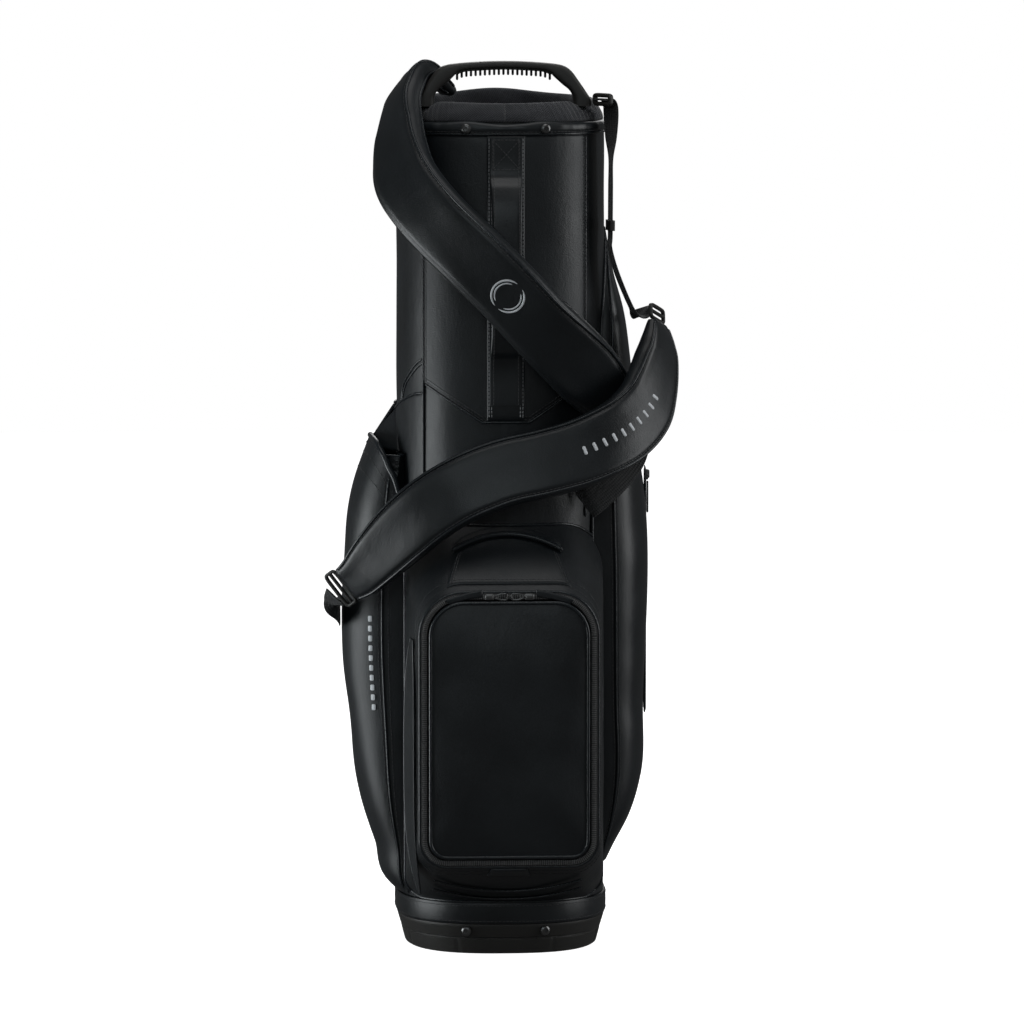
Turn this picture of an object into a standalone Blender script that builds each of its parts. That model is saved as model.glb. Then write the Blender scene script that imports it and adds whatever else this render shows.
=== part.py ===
"""Golf staff bag: a rounded-square tube with a moulded base and collar, three pockets, two padded straps.

Metres, +Z up, the bag's front towards -Y. The origin is the middle of the base's underside.
"""

import math

import bmesh
import bpy
import numpy as np
from mathutils import Vector

# Driving dimensions
HALF_WIDTH = 0.106  # body tube, across
HALF_DEPTH = 0.120  # body tube, front to back
SQUARENESS = 2.6  # exponent of the rounded-square outline
SIDES = 48  # flats round the body
GAP = 0.0004  # between neighbouring pieces

BOOT_TOP = 0.0318
BOOT_SHELF = 0.0195
TUBE_TOP = 0.8350
BINDING_TOP = 0.8472
COLLAR_TOP = 0.8620
CUFF_TOP = 0.8670
WALL = 0.0038

CURTAIN_HALF_X = 0.0875
CURTAIN_HALF_Y = 0.1015
CROSS_BAR_Y = 0.037
FRAME_LOW = 0.8420
FRAME_HIGH = 0.8553

HANDLE_Y = -0.073
HANDLE_DEPTH = 0.020

HOUSING_WALL = 0.004
MOUTH_Y = -0.1862
MOUTH_HALF_X = 0.0905
MOUTH_LOW = 0.100
MOUTH_HIGH = 0.380
ROOT_HALF_X = 0.1005
ROOT_LOW = 0.0550
ROOT_HIGH = 0.4400
ROOT_Y = -0.0745
ROOT_LOW_RADIUS = 0.020
ROOT_HIGH_RADIUS = 0.045
MOUTH_LOW_RADIUS = 0.028
MOUTH_HIGH_RADIUS = 0.045
LID_INSET = 0.0100
LID_HINGE = Vector((0.0, -0.1956, 0.1096))

POCKET_WALL = 0.0035
POCKET_SKEW = 0.62  # how square a side pocket's section is
LEFT_BULGE = (
    (0.056, 0.003), (0.063, 0.0105), (0.103, 0.0225), (0.145, 0.0365), (0.218, 0.0475),
    (0.338, 0.0565), (0.445, 0.0485), (0.480, 0.0415), (0.525, 0.0260),
)
LEFT_MOUTH = ((-90, 0.445), (-82, 0.474), (-67, 0.495), (-40, 0.514), (-8, 0.521), (30, 0.516), (90, 0.505))
LEFT_HALF_SPAN = ((0.056, 0.068), (0.525, 0.068))
RIGHT_BULGE = (
    (0.086, 0.003), (0.100, 0.010), (0.130, 0.026), (0.172, 0.0385), (0.245, 0.0405), (0.475, 0.0400),
    (0.510, 0.0345), (0.550, 0.0310), (0.608, 0.0260), (0.650, 0.0200), (0.691, 0.0090), (0.736, 0.0010),
)
RIGHT_HALF_SPAN = ((0.086, 0.066), (0.600, 0.066), (0.660, 0.052), (0.700, 0.035), (0.736, 0.014))
BOTTLE_FLOOR = 0.286
LINER_TOP = 0.505

PAD_THICK = 0.018
WEBBING_THICK = 0.0018

LEATHER = (0.012, 0.013, 0.014)
PLASTIC = (0.020, 0.020, 0.019)
FABRIC = (0.014, 0.015, 0.018)


def clear_scene():
    for obj in list(bpy.data.objects):
        bpy.data.objects.remove(obj, do_unlink=True)


def material(name, colour, roughness, metallic=0.0):
    """One Principled material per finish, made on first use."""
    made = bpy.data.materials.get(name)
    if made is None:
        made = bpy.data.materials.new(name)
        made.use_nodes = True
        shader = made.node_tree.nodes["Principled BSDF"]
        shader.inputs["Base Color"].default_value = (*colour, 1.0)
        shader.inputs["Roughness"].default_value = roughness
        shader.inputs["Metallic"].default_value = metallic
    return made


def leather():
    return material("leather", LEATHER, 0.42)


def plastic():
    return material("plastic", PLASTIC, 0.55)


def fabric():
    return material("fabric", FABRIC, 0.85)


def lining():
    return material("lining", (0.008, 0.008, 0.009), 0.25)


def webbing():
    return material("webbing", (0.016, 0.016, 0.016), 0.8)


def zip_tape():
    return material("zip", (0.03, 0.03, 0.032), 0.4)


def dark_metal():
    return material("dark_metal", (0.05, 0.05, 0.05), 0.35, 0.9)


def solid(name, points, faces, finish):
    """An object from points and faces, with its faces turned outwards."""
    mesh = bpy.data.meshes.new(name)
    mesh.from_pydata([tuple(point) for point in points], [], [tuple(face) for face in faces])
    work = bmesh.new()
    work.from_mesh(mesh)
    bmesh.ops.recalc_face_normals(work, faces=work.faces[:])
    work.to_mesh(mesh)
    work.free()
    mesh.shade_smooth()
    mesh.set_sharp_from_angle(angle=math.radians(35))
    mesh.materials.append(finish)
    obj = bpy.data.objects.new(name, mesh)
    bpy.context.scene.collection.objects.link(obj)
    return obj


def loft(name, rings, finish, joined=False):
    """Skin through rings of equal count; joined closes the last ring to the first, otherwise both ends are capped."""
    count = len(rings[0])
    points = [point for ring in rings for point in ring]
    faces = []
    spans = len(rings) if joined else len(rings) - 1
    for row in range(spans):
        here = row * count
        there = (row + 1) % len(rings) * count
        for i in range(count):
            j = (i + 1) % count
            faces.append((here + i, here + j, there + j, there + i))
    if not joined:
        faces.append(tuple(range(count)))
        faces.append(tuple(range((len(rings) - 1) * count, len(rings) * count)))
    return solid(name, points, faces, finish)


def thick_patch(name, outer, inner, finish):
    """A sheet with thickness: two grids of points, rows by columns by 3, sewn together round their edges."""
    rows, columns = outer.shape[:2]
    total = rows * columns
    points = np.concatenate([outer.reshape(-1, 3), inner.reshape(-1, 3)])
    faces = []
    for row in range(rows - 1):
        for column in range(columns - 1):
            a = row * columns + column
            quad = (a, a + 1, a + columns + 1, a + columns)
            faces.append(quad)
            faces.append(tuple(total + index for index in reversed(quad)))
    rim = [column for column in range(columns)]
    rim += [row * columns + columns - 1 for row in range(1, rows)]
    rim += [(rows - 1) * columns + column for column in range(columns - 2, -1, -1)]
    rim += [row * columns for row in range(rows - 2, 0, -1)]
    for a, b in zip(rim, rim[1:] + rim[:1]):
        faces.append((b, a, total + a, total + b))
    return solid(name, points, faces, finish)


def extrusion(name, outline, direction, finish, bevel=0.0):
    """A flat outline of 3-D points carried along a vector."""
    count = len(outline)
    step = Vector(direction)
    points = [Vector(point) for point in outline] + [Vector(point) + step for point in outline]
    faces = [tuple(range(count)), tuple(range(count, 2 * count))]
    faces += [(i, (i + 1) % count, (i + 1) % count + count, i + count) for i in range(count)]
    obj = solid(name, points, faces, finish)
    if bevel:
        rounding = obj.modifiers.new("rounded edges", "BEVEL")
        rounding.width = bevel
        rounding.segments = 1
        rounding.limit_method = "ANGLE"
        rounding.angle_limit = math.radians(50)
    return obj


def pivot(obj, point):
    """Moves the object's origin to its joint, and leaves its shape where it is."""
    point = Vector(point)
    for vertex in obj.data.vertices:
        vertex.co -= point
    obj.location = point
    return obj


def cut(obj, cutter):
    """Takes the cutter's volume out of the object."""
    cutter.hide_render = True
    cutter.display_type = "WIRE"
    modifier = obj.modifiers.new("cut", "BOOLEAN")
    modifier.operation = "DIFFERENCE"
    modifier.solver = "EXACT"
    modifier.object = cutter


def power(value, exponent):
    return math.copysign(abs(value) ** exponent, value)


def oval_point(inset, turn, z):
    """A point of the body's outline, moved in by inset; turn is measured from the front towards +X."""
    exponent = 2 / SQUARENESS
    x = (HALF_WIDTH - inset) * power(math.sin(turn), exponent)
    y = -(HALF_DEPTH - inset) * power(math.cos(turn), exponent)
    return (x, y, z)


def oval(inset, z):
    return [oval_point(inset, 2 * math.pi * i / SIDES, z) for i in range(SIDES)]


def side_x(y, inset=0.0):
    """Half-width of the body's outline at a given Y."""
    ratio = min(1.0, abs(y) / (HALF_DEPTH - inset))
    return (HALF_WIDTH - inset) * (1 - ratio**SQUARENESS) ** (1 / SQUARENESS)


def front_y(x, inset=0.0):
    """Y of the body's front at a given X."""
    ratio = min(1.0, abs(x) / (HALF_WIDTH - inset))
    return -(HALF_DEPTH - inset) * (1 - ratio**SQUARENESS) ** (1 / SQUARENESS)


def band(name, profile, finish, lift=None):
    """A closed profile of (inset, z) carried round the body's outline; lift raises single points."""
    rings = []
    for inset, z in profile:
        ring = oval(inset, z)
        if lift:
            ring = [(x, y, z + lift(x, y, z)) for x, y, z in ring]
        rings.append(ring)
    return loft(name, rings, finish, joined=True)


# Base


def make_base():
    boot_rings = [
        oval(0.0085, 0.0), oval(0.0045, 0.0100), oval(-0.0005, 0.0280), oval(-0.0010, BOOT_TOP),
        oval(0.0026, BOOT_TOP), oval(0.0026, BOOT_SHELF), oval(0.0080, BOOT_SHELF), oval(0.0115, 0.0045),
    ]
    boot = loft("base_boot", boot_rings, plastic())
    loft("floor_pad", [oval(0.0130, 0.0049), oval(0.0130, 0.0105)], fabric())
    band("base_band", [(-0.0015, 0.0322), (-0.0015, 0.0535), (0.0026, 0.0535), (0.0026, 0.0322)], leather())
    return boot


def make_tube():
    profile = [
        (0.0030, BOOT_SHELF + GAP), (0.0030, 0.0538), (0.0, 0.0545), (0.0, TUBE_TOP),
        (WALL, TUBE_TOP), (WALL, 0.0545), (0.0068, 0.0538), (0.0068, BOOT_SHELF + GAP),
    ]
    return band("body_tube", profile, leather())


def lathe(name, profile, centre, direction, finish, sides=10):
    """A turned piece: profile of (radius, distance) along direction from centre, ends capped."""
    axis = Vector(direction).normalized()
    across = axis.cross(Vector((0, 0, 1))).normalized()
    up = across.cross(axis)
    rings = []
    for radius, distance in profile:
        middle = Vector(centre) + axis * distance
        ring = []
        for i in range(sides):
            turn = 2 * math.pi * i / sides
            ring.append(middle + (across * math.cos(turn) + up * math.sin(turn)) * radius)
        rings.append(ring)
    return loft(name, rings, finish)


def screw_seat(x, back, inset):
    """Where a screw meets the outline, and the outward direction there."""
    y = front_y(x, inset)
    slope_x = power(x / (HALF_WIDTH - inset), SQUARENESS - 1) / (HALF_WIDTH - inset)
    slope_y = power(y / (HALF_DEPTH - inset), SQUARENESS - 1) / (HALF_DEPTH - inset)
    outward = Vector((slope_x, slope_y, 0)).normalized()
    if back:
        return Vector((x, -y, 0)), Vector((outward.x, -outward.y, 0))
    return Vector((x, y, 0)), outward


def make_screws(label, z, inset, shank, pierced):
    """Four button-head screws at X of plus and minus 40 mm, front and back, through the pieces they hold."""
    number = 0
    for back in (False, True):
        for x in (-0.040, 0.040):
            number += 1
            seat, outward = screw_seat(x, back, inset)
            seat.z = z
            head = [(0.0017, -shank), (0.0017, GAP), (0.0047, GAP), (0.0047, 0.0014), (0.0034, 0.0024)]
            lathe(f"{label}_screw_{number}", head, seat, outward, dark_metal())
            bore = [(0.0021, -0.02), (0.0021, 0.01)]
            cutter = lathe(f"{label}_drill_{number}", bore, seat, outward, plastic(), 8)
            for piece in pierced:
                cut(piece, cutter)


# Top


def cuff_lift(x, y, z):
    """The padded rim rises at the back and dips a little at the front."""
    if z < 0.8635:
        return 0.0
    if y > 0:
        return 0.006 * math.exp(-((x / 0.045) ** 2))
    return -0.0022 * math.exp(-((x / 0.055) ** 2))


def make_collar():
    profile = [
        (0.0042, 0.7950), (0.0042, 0.8476), (0.0130, COLLAR_TOP), (0.0165, COLLAR_TOP),
        (0.0165, 0.8575), (0.0080, 0.8440), (0.0080, 0.7950),
    ]
    collar = band("collar_ring", profile, plastic())
    low = TUBE_TOP + GAP
    binding = band(
        "top_binding",
        [(-0.0012, low), (-0.0018, 0.8440), (-0.0004, BINDING_TOP), (0.0038, BINDING_TOP), (0.0038, low)],
        leather(),
    )
    cuff_profile = [
        (0.0016, BINDING_TOP + 0.0006), (0.0036, 0.8560), (0.0084, 0.8640), (0.0118, CUFF_TOP),
        (0.0156, CUFF_TOP), (0.0187, 0.8640), (0.0187, 0.8562), (0.0170, 0.8562),
        (0.0170, COLLAR_TOP + GAP), (0.0126, COLLAR_TOP + GAP), (0.0036, BINDING_TOP + 0.0006),
    ]
    cuff = band("top_cuff", cuff_profile, fabric(), cuff_lift)
    for side in (-1, 1):
        notch = block(
            f"foot_notch_{side + 2}", (side * 0.0800, HANDLE_Y, 0.8700),
            (0.0188, HANDLE_DEPTH + 0.0008, 2 * (0.8700 - COLLAR_TOP - 0.0002)), plastic(),
        )
        cut(cuff, notch)
    return collar, binding


def block(name, centre, size, finish, turn_z=0.0):
    """A box, turned about Z through its centre."""
    half = [value / 2 for value in size]
    cos, sin = math.cos(turn_z), math.sin(turn_z)
    points = []
    for dz in (-half[2], half[2]):
        for dx, dy in ((-half[0], -half[1]), (half[0], -half[1]), (half[0], half[1]), (-half[0], half[1])):
            points.append((centre[0] + dx * cos - dy * sin, centre[1] + dx * sin + dy * cos, centre[2] + dz))
    faces = [(0, 1, 2, 3), (4, 5, 6, 7), (0, 1, 5, 4), (1, 2, 6, 5), (2, 3, 7, 6), (3, 0, 4, 7)]
    return solid(name, points, faces, finish)


def cell_outline(side, low, high, inset, bar):
    """One club cell in plan: straight at the middle bar, curved along the frame's rim."""
    reach = HALF_DEPTH - inset
    limit = reach * (1 - (bar / (HALF_WIDTH - inset)) ** SQUARENESS) ** (1 / SQUARENESS) - 0.002
    low, high = max(low, -limit), min(high, limit)
    steps = 6
    outline = [(side * bar, low), ]
    for i in range(steps + 1):
        y = low + (high - low) * i / steps
        outline.append((side * side_x(y, inset), y))
    outline.append((side * bar, high))
    return outline


def make_divider():
    """The six-way frame in the collar's mouth and the fabric curtains that hang from it to the floor."""
    frame = loft("divider_frame", [oval(0.0173, FRAME_LOW), oval(0.0173, FRAME_HIGH)], plastic())
    bar = 0.0038
    rows = ((-1.0, -CROSS_BAR_Y - bar), (-CROSS_BAR_Y + bar, CROSS_BAR_Y - bar), (CROSS_BAR_Y + bar, 1.0))
    for side in (-1, 1):
        for number, (low, high) in enumerate(rows):
            outline = [(x, y, FRAME_LOW - 0.005) for x, y in cell_outline(side, low, high, 0.0235, bar)]
            cutter = extrusion(f"cell_{side + 2}_{number}", outline, (0, 0, 0.025), plastic())
            cut(frame, cutter)
    half = 0.0009
    quarter = [
        (half, CURTAIN_HALF_Y), (half, CROSS_BAR_Y + half), (CURTAIN_HALF_X, CROSS_BAR_Y + half),
        (CURTAIN_HALF_X, CROSS_BAR_Y - half), (half, CROSS_BAR_Y - half),
    ]
    right = quarter + [(x, -y) for x, y in reversed(quarter)]
    outline = right + [(-x, y) for x, y in reversed(right)]
    bottom = 0.0112
    extrusion(
        "divider_curtains", [(x, y, bottom) for x, y in outline], (0, 0, FRAME_LOW - GAP - bottom), fabric()
    )
    for label, side in (("left", -1), ("right", 1)):
        foot = (side * 0.0964, 0.0, BOOT_SHELF + GAP)
        rod = [(0.0024, 0.0), (0.0024, 0.7950 - BOOT_SHELF - 2 * GAP)]
        upright(f"stay_{label}", rod, foot, plastic())


def upright(name, profile, foot, finish, sides=8):
    """A turned piece standing on its foot along +Z."""
    rings = []
    for radius, height in profile:
        ring = []
        for i in range(sides):
            turn = 2 * math.pi * i / sides
            ring.append((foot[0] + radius * math.cos(turn), foot[1] + radius * math.sin(turn), foot[2] + height))
        rings.append(ring)
    return loft(name, rings, finish)


def mirrored(points):
    """An outline's right half, from the bottom up, followed by its mirror image."""
    return points + [(-x, z) for x, z in reversed(points)]


def grip_underside(x):
    """Height of the handle bar's lower face."""
    return 0.9010 - 0.0035 * (x / 0.0505) ** 2


def make_handle():
    """The moulded top handle, and the rubber comb under its bar."""
    foot = COLLAR_TOP + 0.0004
    outer = [(0.0890, foot), (0.0885, 0.8680), (0.0665, 0.9010), (0.0600, 0.9035), (0.0350, 0.9065), (0.0120, 0.9080)]
    inner = [(0.0712, foot), (0.0710, 0.8730), (0.0680, 0.8800), (0.0610, 0.8870), (0.0530, 0.8915)]
    inner += [(x, grip_underside(x)) for x in (0.0515, 0.0380, 0.0250, 0.0120)]
    right = inner[::-1] + outer
    outline = [(x, HANDLE_Y - HANDLE_DEPTH / 2, z) for x, z in right]
    outline += [(-x, HANDLE_Y - HANDLE_DEPTH / 2, z) for x, z in reversed(right)]
    extrusion("top_handle", outline, (0, HANDLE_DEPTH, 0), plastic(), bevel=0.0022)

    teeth = 21
    pitch = 0.0047
    thick = 0.0014
    comb_depth = 0.012
    lower = []
    for i in range(teeth):
        x = (i - (teeth - 1) / 2) * pitch
        root = grip_underside(x) - 0.0020
        tip = root - 0.0048
        lower += [(x - thick / 2, root), (x - thick / 2, tip), (x + thick / 2, tip), (x + thick / 2, root)]
    edge = (teeth - 1) / 2 * pitch + 0.0015
    upper = [(edge * (1 - 2 * i / 8), grip_underside(edge * (1 - 2 * i / 8)) - GAP) for i in range(9)]
    outline = [(x, HANDLE_Y - comb_depth / 2, z) for x, z in lower + upper]
    extrusion("handle_comb", outline, (0, comb_depth, 0), material("rubber", (0.015, 0.015, 0.015), 0.8))


# Front


def skin(name, turns, bottom, top, low_inset, high_inset, finish):
    """A sheet that hugs the body: its columns stand at the body's own corners, so no flat cuts another."""
    outer = np.array([[oval_point(high_inset, turn, z(turn)) for turn in turns] for z in (bottom, top)])
    inner = np.array([[oval_point(low_inset, turn, z(turn)) for turn in turns] for z in (bottom, top)])
    return thick_patch(name, outer, inner, finish)


def make_front():
    step = 2 * math.pi / SIDES
    turns = [i * step for i in range(-6, 7)]

    def panel_bottom(turn):
        """Level in the middle, rising to the seams at both sides."""
        x = abs(oval_point(0, turn, 0)[0])
        return 0.5445 + max(0.0, x - 0.024) * 0.66

    skin("front_panel", turns, panel_bottom, lambda turn: TUBE_TOP - 0.0010, -GAP, -0.0017, leather())
    strip_half = 0.0193
    strip_y = -HALF_DEPTH - 0.0017 - GAP
    extrusion(
        "front_strip",
        [(-strip_half, strip_y, 0.5465), (strip_half, strip_y, 0.5465),
         (strip_half, strip_y, TUBE_TOP - 0.0012), (-strip_half, strip_y, TUBE_TOP - 0.0012)],
        (0, -0.0016, 0), leather(),
    )
    back = strip_y - 0.0016 - GAP
    reach = 0.0135
    path = [(back, 0.8325), (back, 0.7960), (back - reach * 0.55, 0.7800), (back - reach, 0.7550)]
    path += [(back - reach, 0.6450), (back - reach * 0.55, 0.6200), (back, 0.6050), (back, 0.5620)]
    thickness = [0.0026, 0.0030, 0.0060, 0.0070, 0.0070, 0.0060, 0.0030, 0.0026]
    half_width = [0.0165, 0.0165, 0.0160, 0.0155, 0.0155, 0.0160, 0.0165, 0.0165]
    rings = []
    for (y, z), thick, half in zip(path, thickness, half_width):
        rings.append([(-half, y, z), (half, y, z), (half * 0.9, y - thick, z), (-half * 0.9, y - thick, z)])
    loft("carry_handle", rings, leather())


# Ball pocket


def body_corner_x(count):
    """X of the body outline's corners from plus to minus, count of them each side of the middle."""
    step = 2 * math.pi / SIDES
    return [oval_point(-0.0008, i * step, 0)[0] for i in range(count, -count - 1, -1)]


def pocket_loop(half_x, low, high, low_radius, high_radius, inset=0.0):
    """A rounded rectangle in X and Z, anticlockwise from the right side's top, moved in by inset.

    Its level edges have points in step with the body's own corners, so the rear rim lies on the body.
    """
    arc_points = 8
    shares = {
        0: [x / (ROOT_HALF_X - ROOT_HIGH_RADIUS) for x in body_corner_x(3)],
        2: [-x / (ROOT_HALF_X - ROOT_LOW_RADIUS) for x in body_corner_x(5)],
    }
    half_x, low, high = half_x - inset, low + inset, high - inset
    low_radius, high_radius = low_radius - inset, high_radius - inset
    corners = (
        (half_x - high_radius, high - high_radius, high_radius, 0),
        (-half_x + high_radius, high - high_radius, high_radius, 90),
        (-half_x + low_radius, low + low_radius, low_radius, 180),
        (half_x - low_radius, low + low_radius, low_radius, 270),
    )
    loop = []
    for number, (x, z, radius, start) in enumerate(corners):
        for i in range(arc_points):
            turn = math.radians(start + 90 * i / (arc_points - 1))
            loop.append((x + radius * math.cos(turn), z + radius * math.sin(turn)))
        level = z + radius if number == 0 else z - radius
        loop += [(abs(x) * share, level) for share in shares.get(number, ())]
    return loop


def root_y(x):
    """Y of the ball pocket's rear rim, which lies on the body."""
    return min(ROOT_Y, front_y(x, -0.0008))


def root_loop(inset):
    return pocket_loop(ROOT_HALF_X, ROOT_LOW, ROOT_HIGH, ROOT_LOW_RADIUS, ROOT_HIGH_RADIUS, inset)


def mouth_loop(inset):
    return pocket_loop(MOUTH_HALF_X, MOUTH_LOW, MOUTH_HIGH, MOUTH_LOW_RADIUS, MOUTH_HIGH_RADIUS, inset)


def make_ball_pocket():
    rear = root_loop(0.0)
    rear_inside = root_loop(HOUSING_WALL)
    rings = [
        [(x, root_y(x), z) for x, z in rear],
        [(x, MOUTH_Y, z) for x, z in mouth_loop(0.0)],
        [(x, MOUTH_Y, z) for x, z in mouth_loop(HOUSING_WALL)],
        [(x, root_y(x), z) for x, z in rear_inside],
    ]
    loft("ball_pocket_housing", rings, leather(), joined=True)

    near, far = MOUTH_Y - GAP, MOUTH_Y - 0.0030
    rings = [
        [(x, near, z) for x, z in mouth_loop(0.0010)], [(x, far, z) for x, z in mouth_loop(0.0016)],
        [(x, far, z) for x, z in mouth_loop(0.0088)], [(x, near, z) for x, z in mouth_loop(0.0092)],
    ]
    loft("ball_zip_track", rings, zip_tape(), joined=True)

    rings = [
        [(x, MOUTH_Y - 0.0012, z) for x, z in mouth_loop(LID_INSET + 0.0020)],
        [(x, MOUTH_Y - 0.0030, z) for x, z in mouth_loop(LID_INSET)],
        [(x, MOUTH_Y - 0.0062, z) for x, z in mouth_loop(LID_INSET)],
        [(x, MOUTH_Y - 0.0080, z) for x, z in mouth_loop(LID_INSET + 0.0030)],
        [(x, MOUTH_Y - 0.0092, z) for x, z in mouth_loop(LID_INSET + 0.0200)],
    ]
    pivot(loft("ball_pocket_lid", rings, leather()), LID_HINGE)

    zip_z = MOUTH_HIGH - 0.0050
    front = MOUTH_Y - 0.0030 - GAP
    for label, side in (("left", -1), ("right", 1)):
        slider_x = side * 0.0200
        block(f"ball_slider_{label}", (slider_x, front - 0.0018, zip_z), (0.0090, 0.0036, 0.0064), dark_metal())
        pull = [(0.0144, 0.0020), (0.0144, -0.0020), (0.0052, -0.0032), (0.0030, -0.0014)]
        pull += [(0.0030, 0.0014), (0.0052, 0.0032)]
        outline = [(side * x, front - 0.0012, zip_z + z) for x, z in pull]
        tab = extrusion(f"ball_pull_{label}", outline, (0, -0.0012, 0), dark_metal())
        pivot(tab, (side * 0.0146, front - 0.0018, zip_z))
        garage = [(0.0270, 0.0062), (0.0270, 0.0004), (0.0480, -0.0003), (0.0640, -0.0078)]
        garage += [(0.0665, -0.0040), (0.0480, 0.0034)]
        outline = [(side * x, front - 0.0002, zip_z + z) for x, z in garage]
        extrusion(f"zip_garage_{label}", outline, (0, -0.0016, 0), leather())

    run, fall = 0.0662, 0.0450
    outward = Vector((0, -fall, -run)).normalized()
    lip = Vector((0, MOUTH_Y, MOUTH_LOW)) + outward * 0.0010
    down = Vector((0, run, -fall)).normalized()
    corners = [lip + down * 0.0010, lip + down * 0.0150]
    outline = [corners[0] - Vector((0.018, 0, 0)), corners[0] + Vector((0.018, 0, 0))]
    outline += [corners[1] + Vector((0.022, 0, 0)), corners[1] - Vector((0.022, 0, 0))]
    extrusion("lid_anchor_tab", outline, outward * 0.0014, leather())


def slope_point(x, share, stand_off):
    """A point on the ball pocket's sloping roof: share 0 at the body, 1 at the mouth."""
    back = np.array([x, root_y(x), ROOT_HIGH])
    drop = max(0.0, abs(x) - (MOUTH_HALF_X - 0.045))
    front = np.array([x, MOUTH_Y, MOUTH_HIGH - 0.045 + math.sqrt(0.045**2 - drop**2)])
    return back + (front - back) * share + np.array([0, -0.69, 0.72]) * stand_off


def make_valuables_pocket():
    """A slim pocket on the sloping roof: its panel, and the piped welt that shades its mouth."""
    def sheet(low_share, high_share, half_low, half_high, base, top):
        grids = []
        for stand_off in (top, base):
            rows = []
            for share, half in ((low_share, half_low), (high_share, half_high)):
                arch = 0.25 * (share < 0.5)
                row = [slope_point(x, share + arch * (x / half) ** 2, stand_off) for x in np.linspace(-half, half, 11)]
                rows.append(row)
            grids.append(np.array(rows))
        return grids

    outer, inner = sheet(0.245, 0.93, 0.0500, 0.0620, 0.0016, 0.0034)
    thick_patch("valuables_panel", outer, inner, leather())
    outer, inner = sheet(0.07, 0.205, 0.0520, 0.0540, 0.0016, 0.0062)
    thick_patch("valuables_welt", outer, inner, leather())


# Side pockets


def read_curve(stations, value):
    return float(np.interp(value, [s[0] for s in stations], [s[1] for s in stations]))


def side_point(side, bulge, half_span, turn, z, inset):
    """A point on a side pocket's wall: turn runs from -90 degrees at the front to +90 at the back."""
    y = (half_span - inset) * power(math.sin(turn), POCKET_SKEW)
    swell = max(bulge - inset, 0.0002) * abs(math.cos(turn)) ** POCKET_SKEW
    return (side * (side_x(y) + 0.0010 + swell), y, z)


def pocket_grid(side, bulges, spans, bottom, top, inset, rows=12, columns=15):
    grid = []
    for row in range(rows):
        line = []
        for column in range(columns):
            degrees = -90 + 180 * column / (columns - 1)
            ceiling = top(degrees)
            z = bottom + inset * (row == 0) + (ceiling - bottom) * row / (rows - 1)
            turn = math.radians(degrees)
            line.append(side_point(side, read_curve(bulges, z), read_curve(spans, z), turn, z, inset))
        grid.append(line)
    return np.array(grid)


def make_left_pocket():
    """An open-topped side pocket with a bottle well in its upper half."""
    def mouth(degrees):
        return read_curve(LEFT_MOUTH, degrees)

    outer = pocket_grid(-1, LEFT_BULGE, LEFT_HALF_SPAN, 0.0560, mouth, 0.0, rows=14)
    inner = pocket_grid(-1, LEFT_BULGE, LEFT_HALF_SPAN, 0.0560, mouth, POCKET_WALL, rows=14)
    thick_patch("left_pocket", outer, inner, leather())

    def section(z, inset, back_gap):
        loop = []
        for degrees in np.linspace(-84, 84, 15):
            span = read_curve(LEFT_HALF_SPAN, z)
            loop.append(side_point(-1, read_curve(LEFT_BULGE, z), span, math.radians(degrees), z, inset))
        for y in np.linspace(0.055, -0.055, 7):
            loop.append((-side_x(y) - back_gap, y, z))
        return loop

    clear = POCKET_WALL + 0.0008
    loft("bottle_floor", [section(BOTTLE_FLOOR, clear, 0.0012), section(BOTTLE_FLOOR + 0.0032, clear, 0.0012)], fabric())
    levels = (BOTTLE_FLOOR + 0.0038, 0.3380, 0.4000, 0.4450, 0.4800, LINER_TOP)
    rings = [section(z, clear, 0.0012) for z in levels]
    rings += [section(z, clear + 0.0012, 0.0024) for z in reversed(levels)]
    loft("bottle_sleeve", rings, lining(), joined=True)

    rows = []
    for drop in (0.0, 0.0022):
        grid = []
        for share in (0.0, 0.35, 0.7, 1.0):
            line = []
            for degrees in np.linspace(12, 84, 7):
                turn = math.radians(degrees)
                rim = np.array(side_point(-1, read_curve(LEFT_BULGE, 0.5120), 0.068, turn, 0.5120, POCKET_WALL + 0.0010))
                y = rim[1]
                root = np.array([-side_x(y) - 0.0012, y, 0.5640])
                point = root + (rim - root) * share
                line.append(point - np.array([-drop * 0.2, 0, drop]))
            grid.append(line)
        rows.append(np.array(grid))
    thick_patch("bottle_gusset", rows[0], rows[1], leather())


def make_right_pocket():
    """A tall closed side pocket with a straight zip down its outer face."""
    def ceiling(degrees):
        return 0.7360

    outer = pocket_grid(1, RIGHT_BULGE, RIGHT_HALF_SPAN, 0.0860, ceiling, 0.0, rows=16)
    inner = pocket_grid(1, RIGHT_BULGE, RIGHT_HALF_SPAN, 0.0860, ceiling, POCKET_WALL, rows=16)
    thick_patch("right_pocket", outer, inner, leather())


def oriented_box(name, centre, across, along, outward, size, finish):
    """A box whose size runs across, along and outward."""
    half = [value / 2 for value in size]
    corners = [centre + across * half[0] * u + along * half[1] * v - outward * half[2]
               for u, v in ((-1, -1), (1, -1), (1, 1), (-1, 1))]
    return extrusion(name, corners, outward * size[2], finish)


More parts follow.
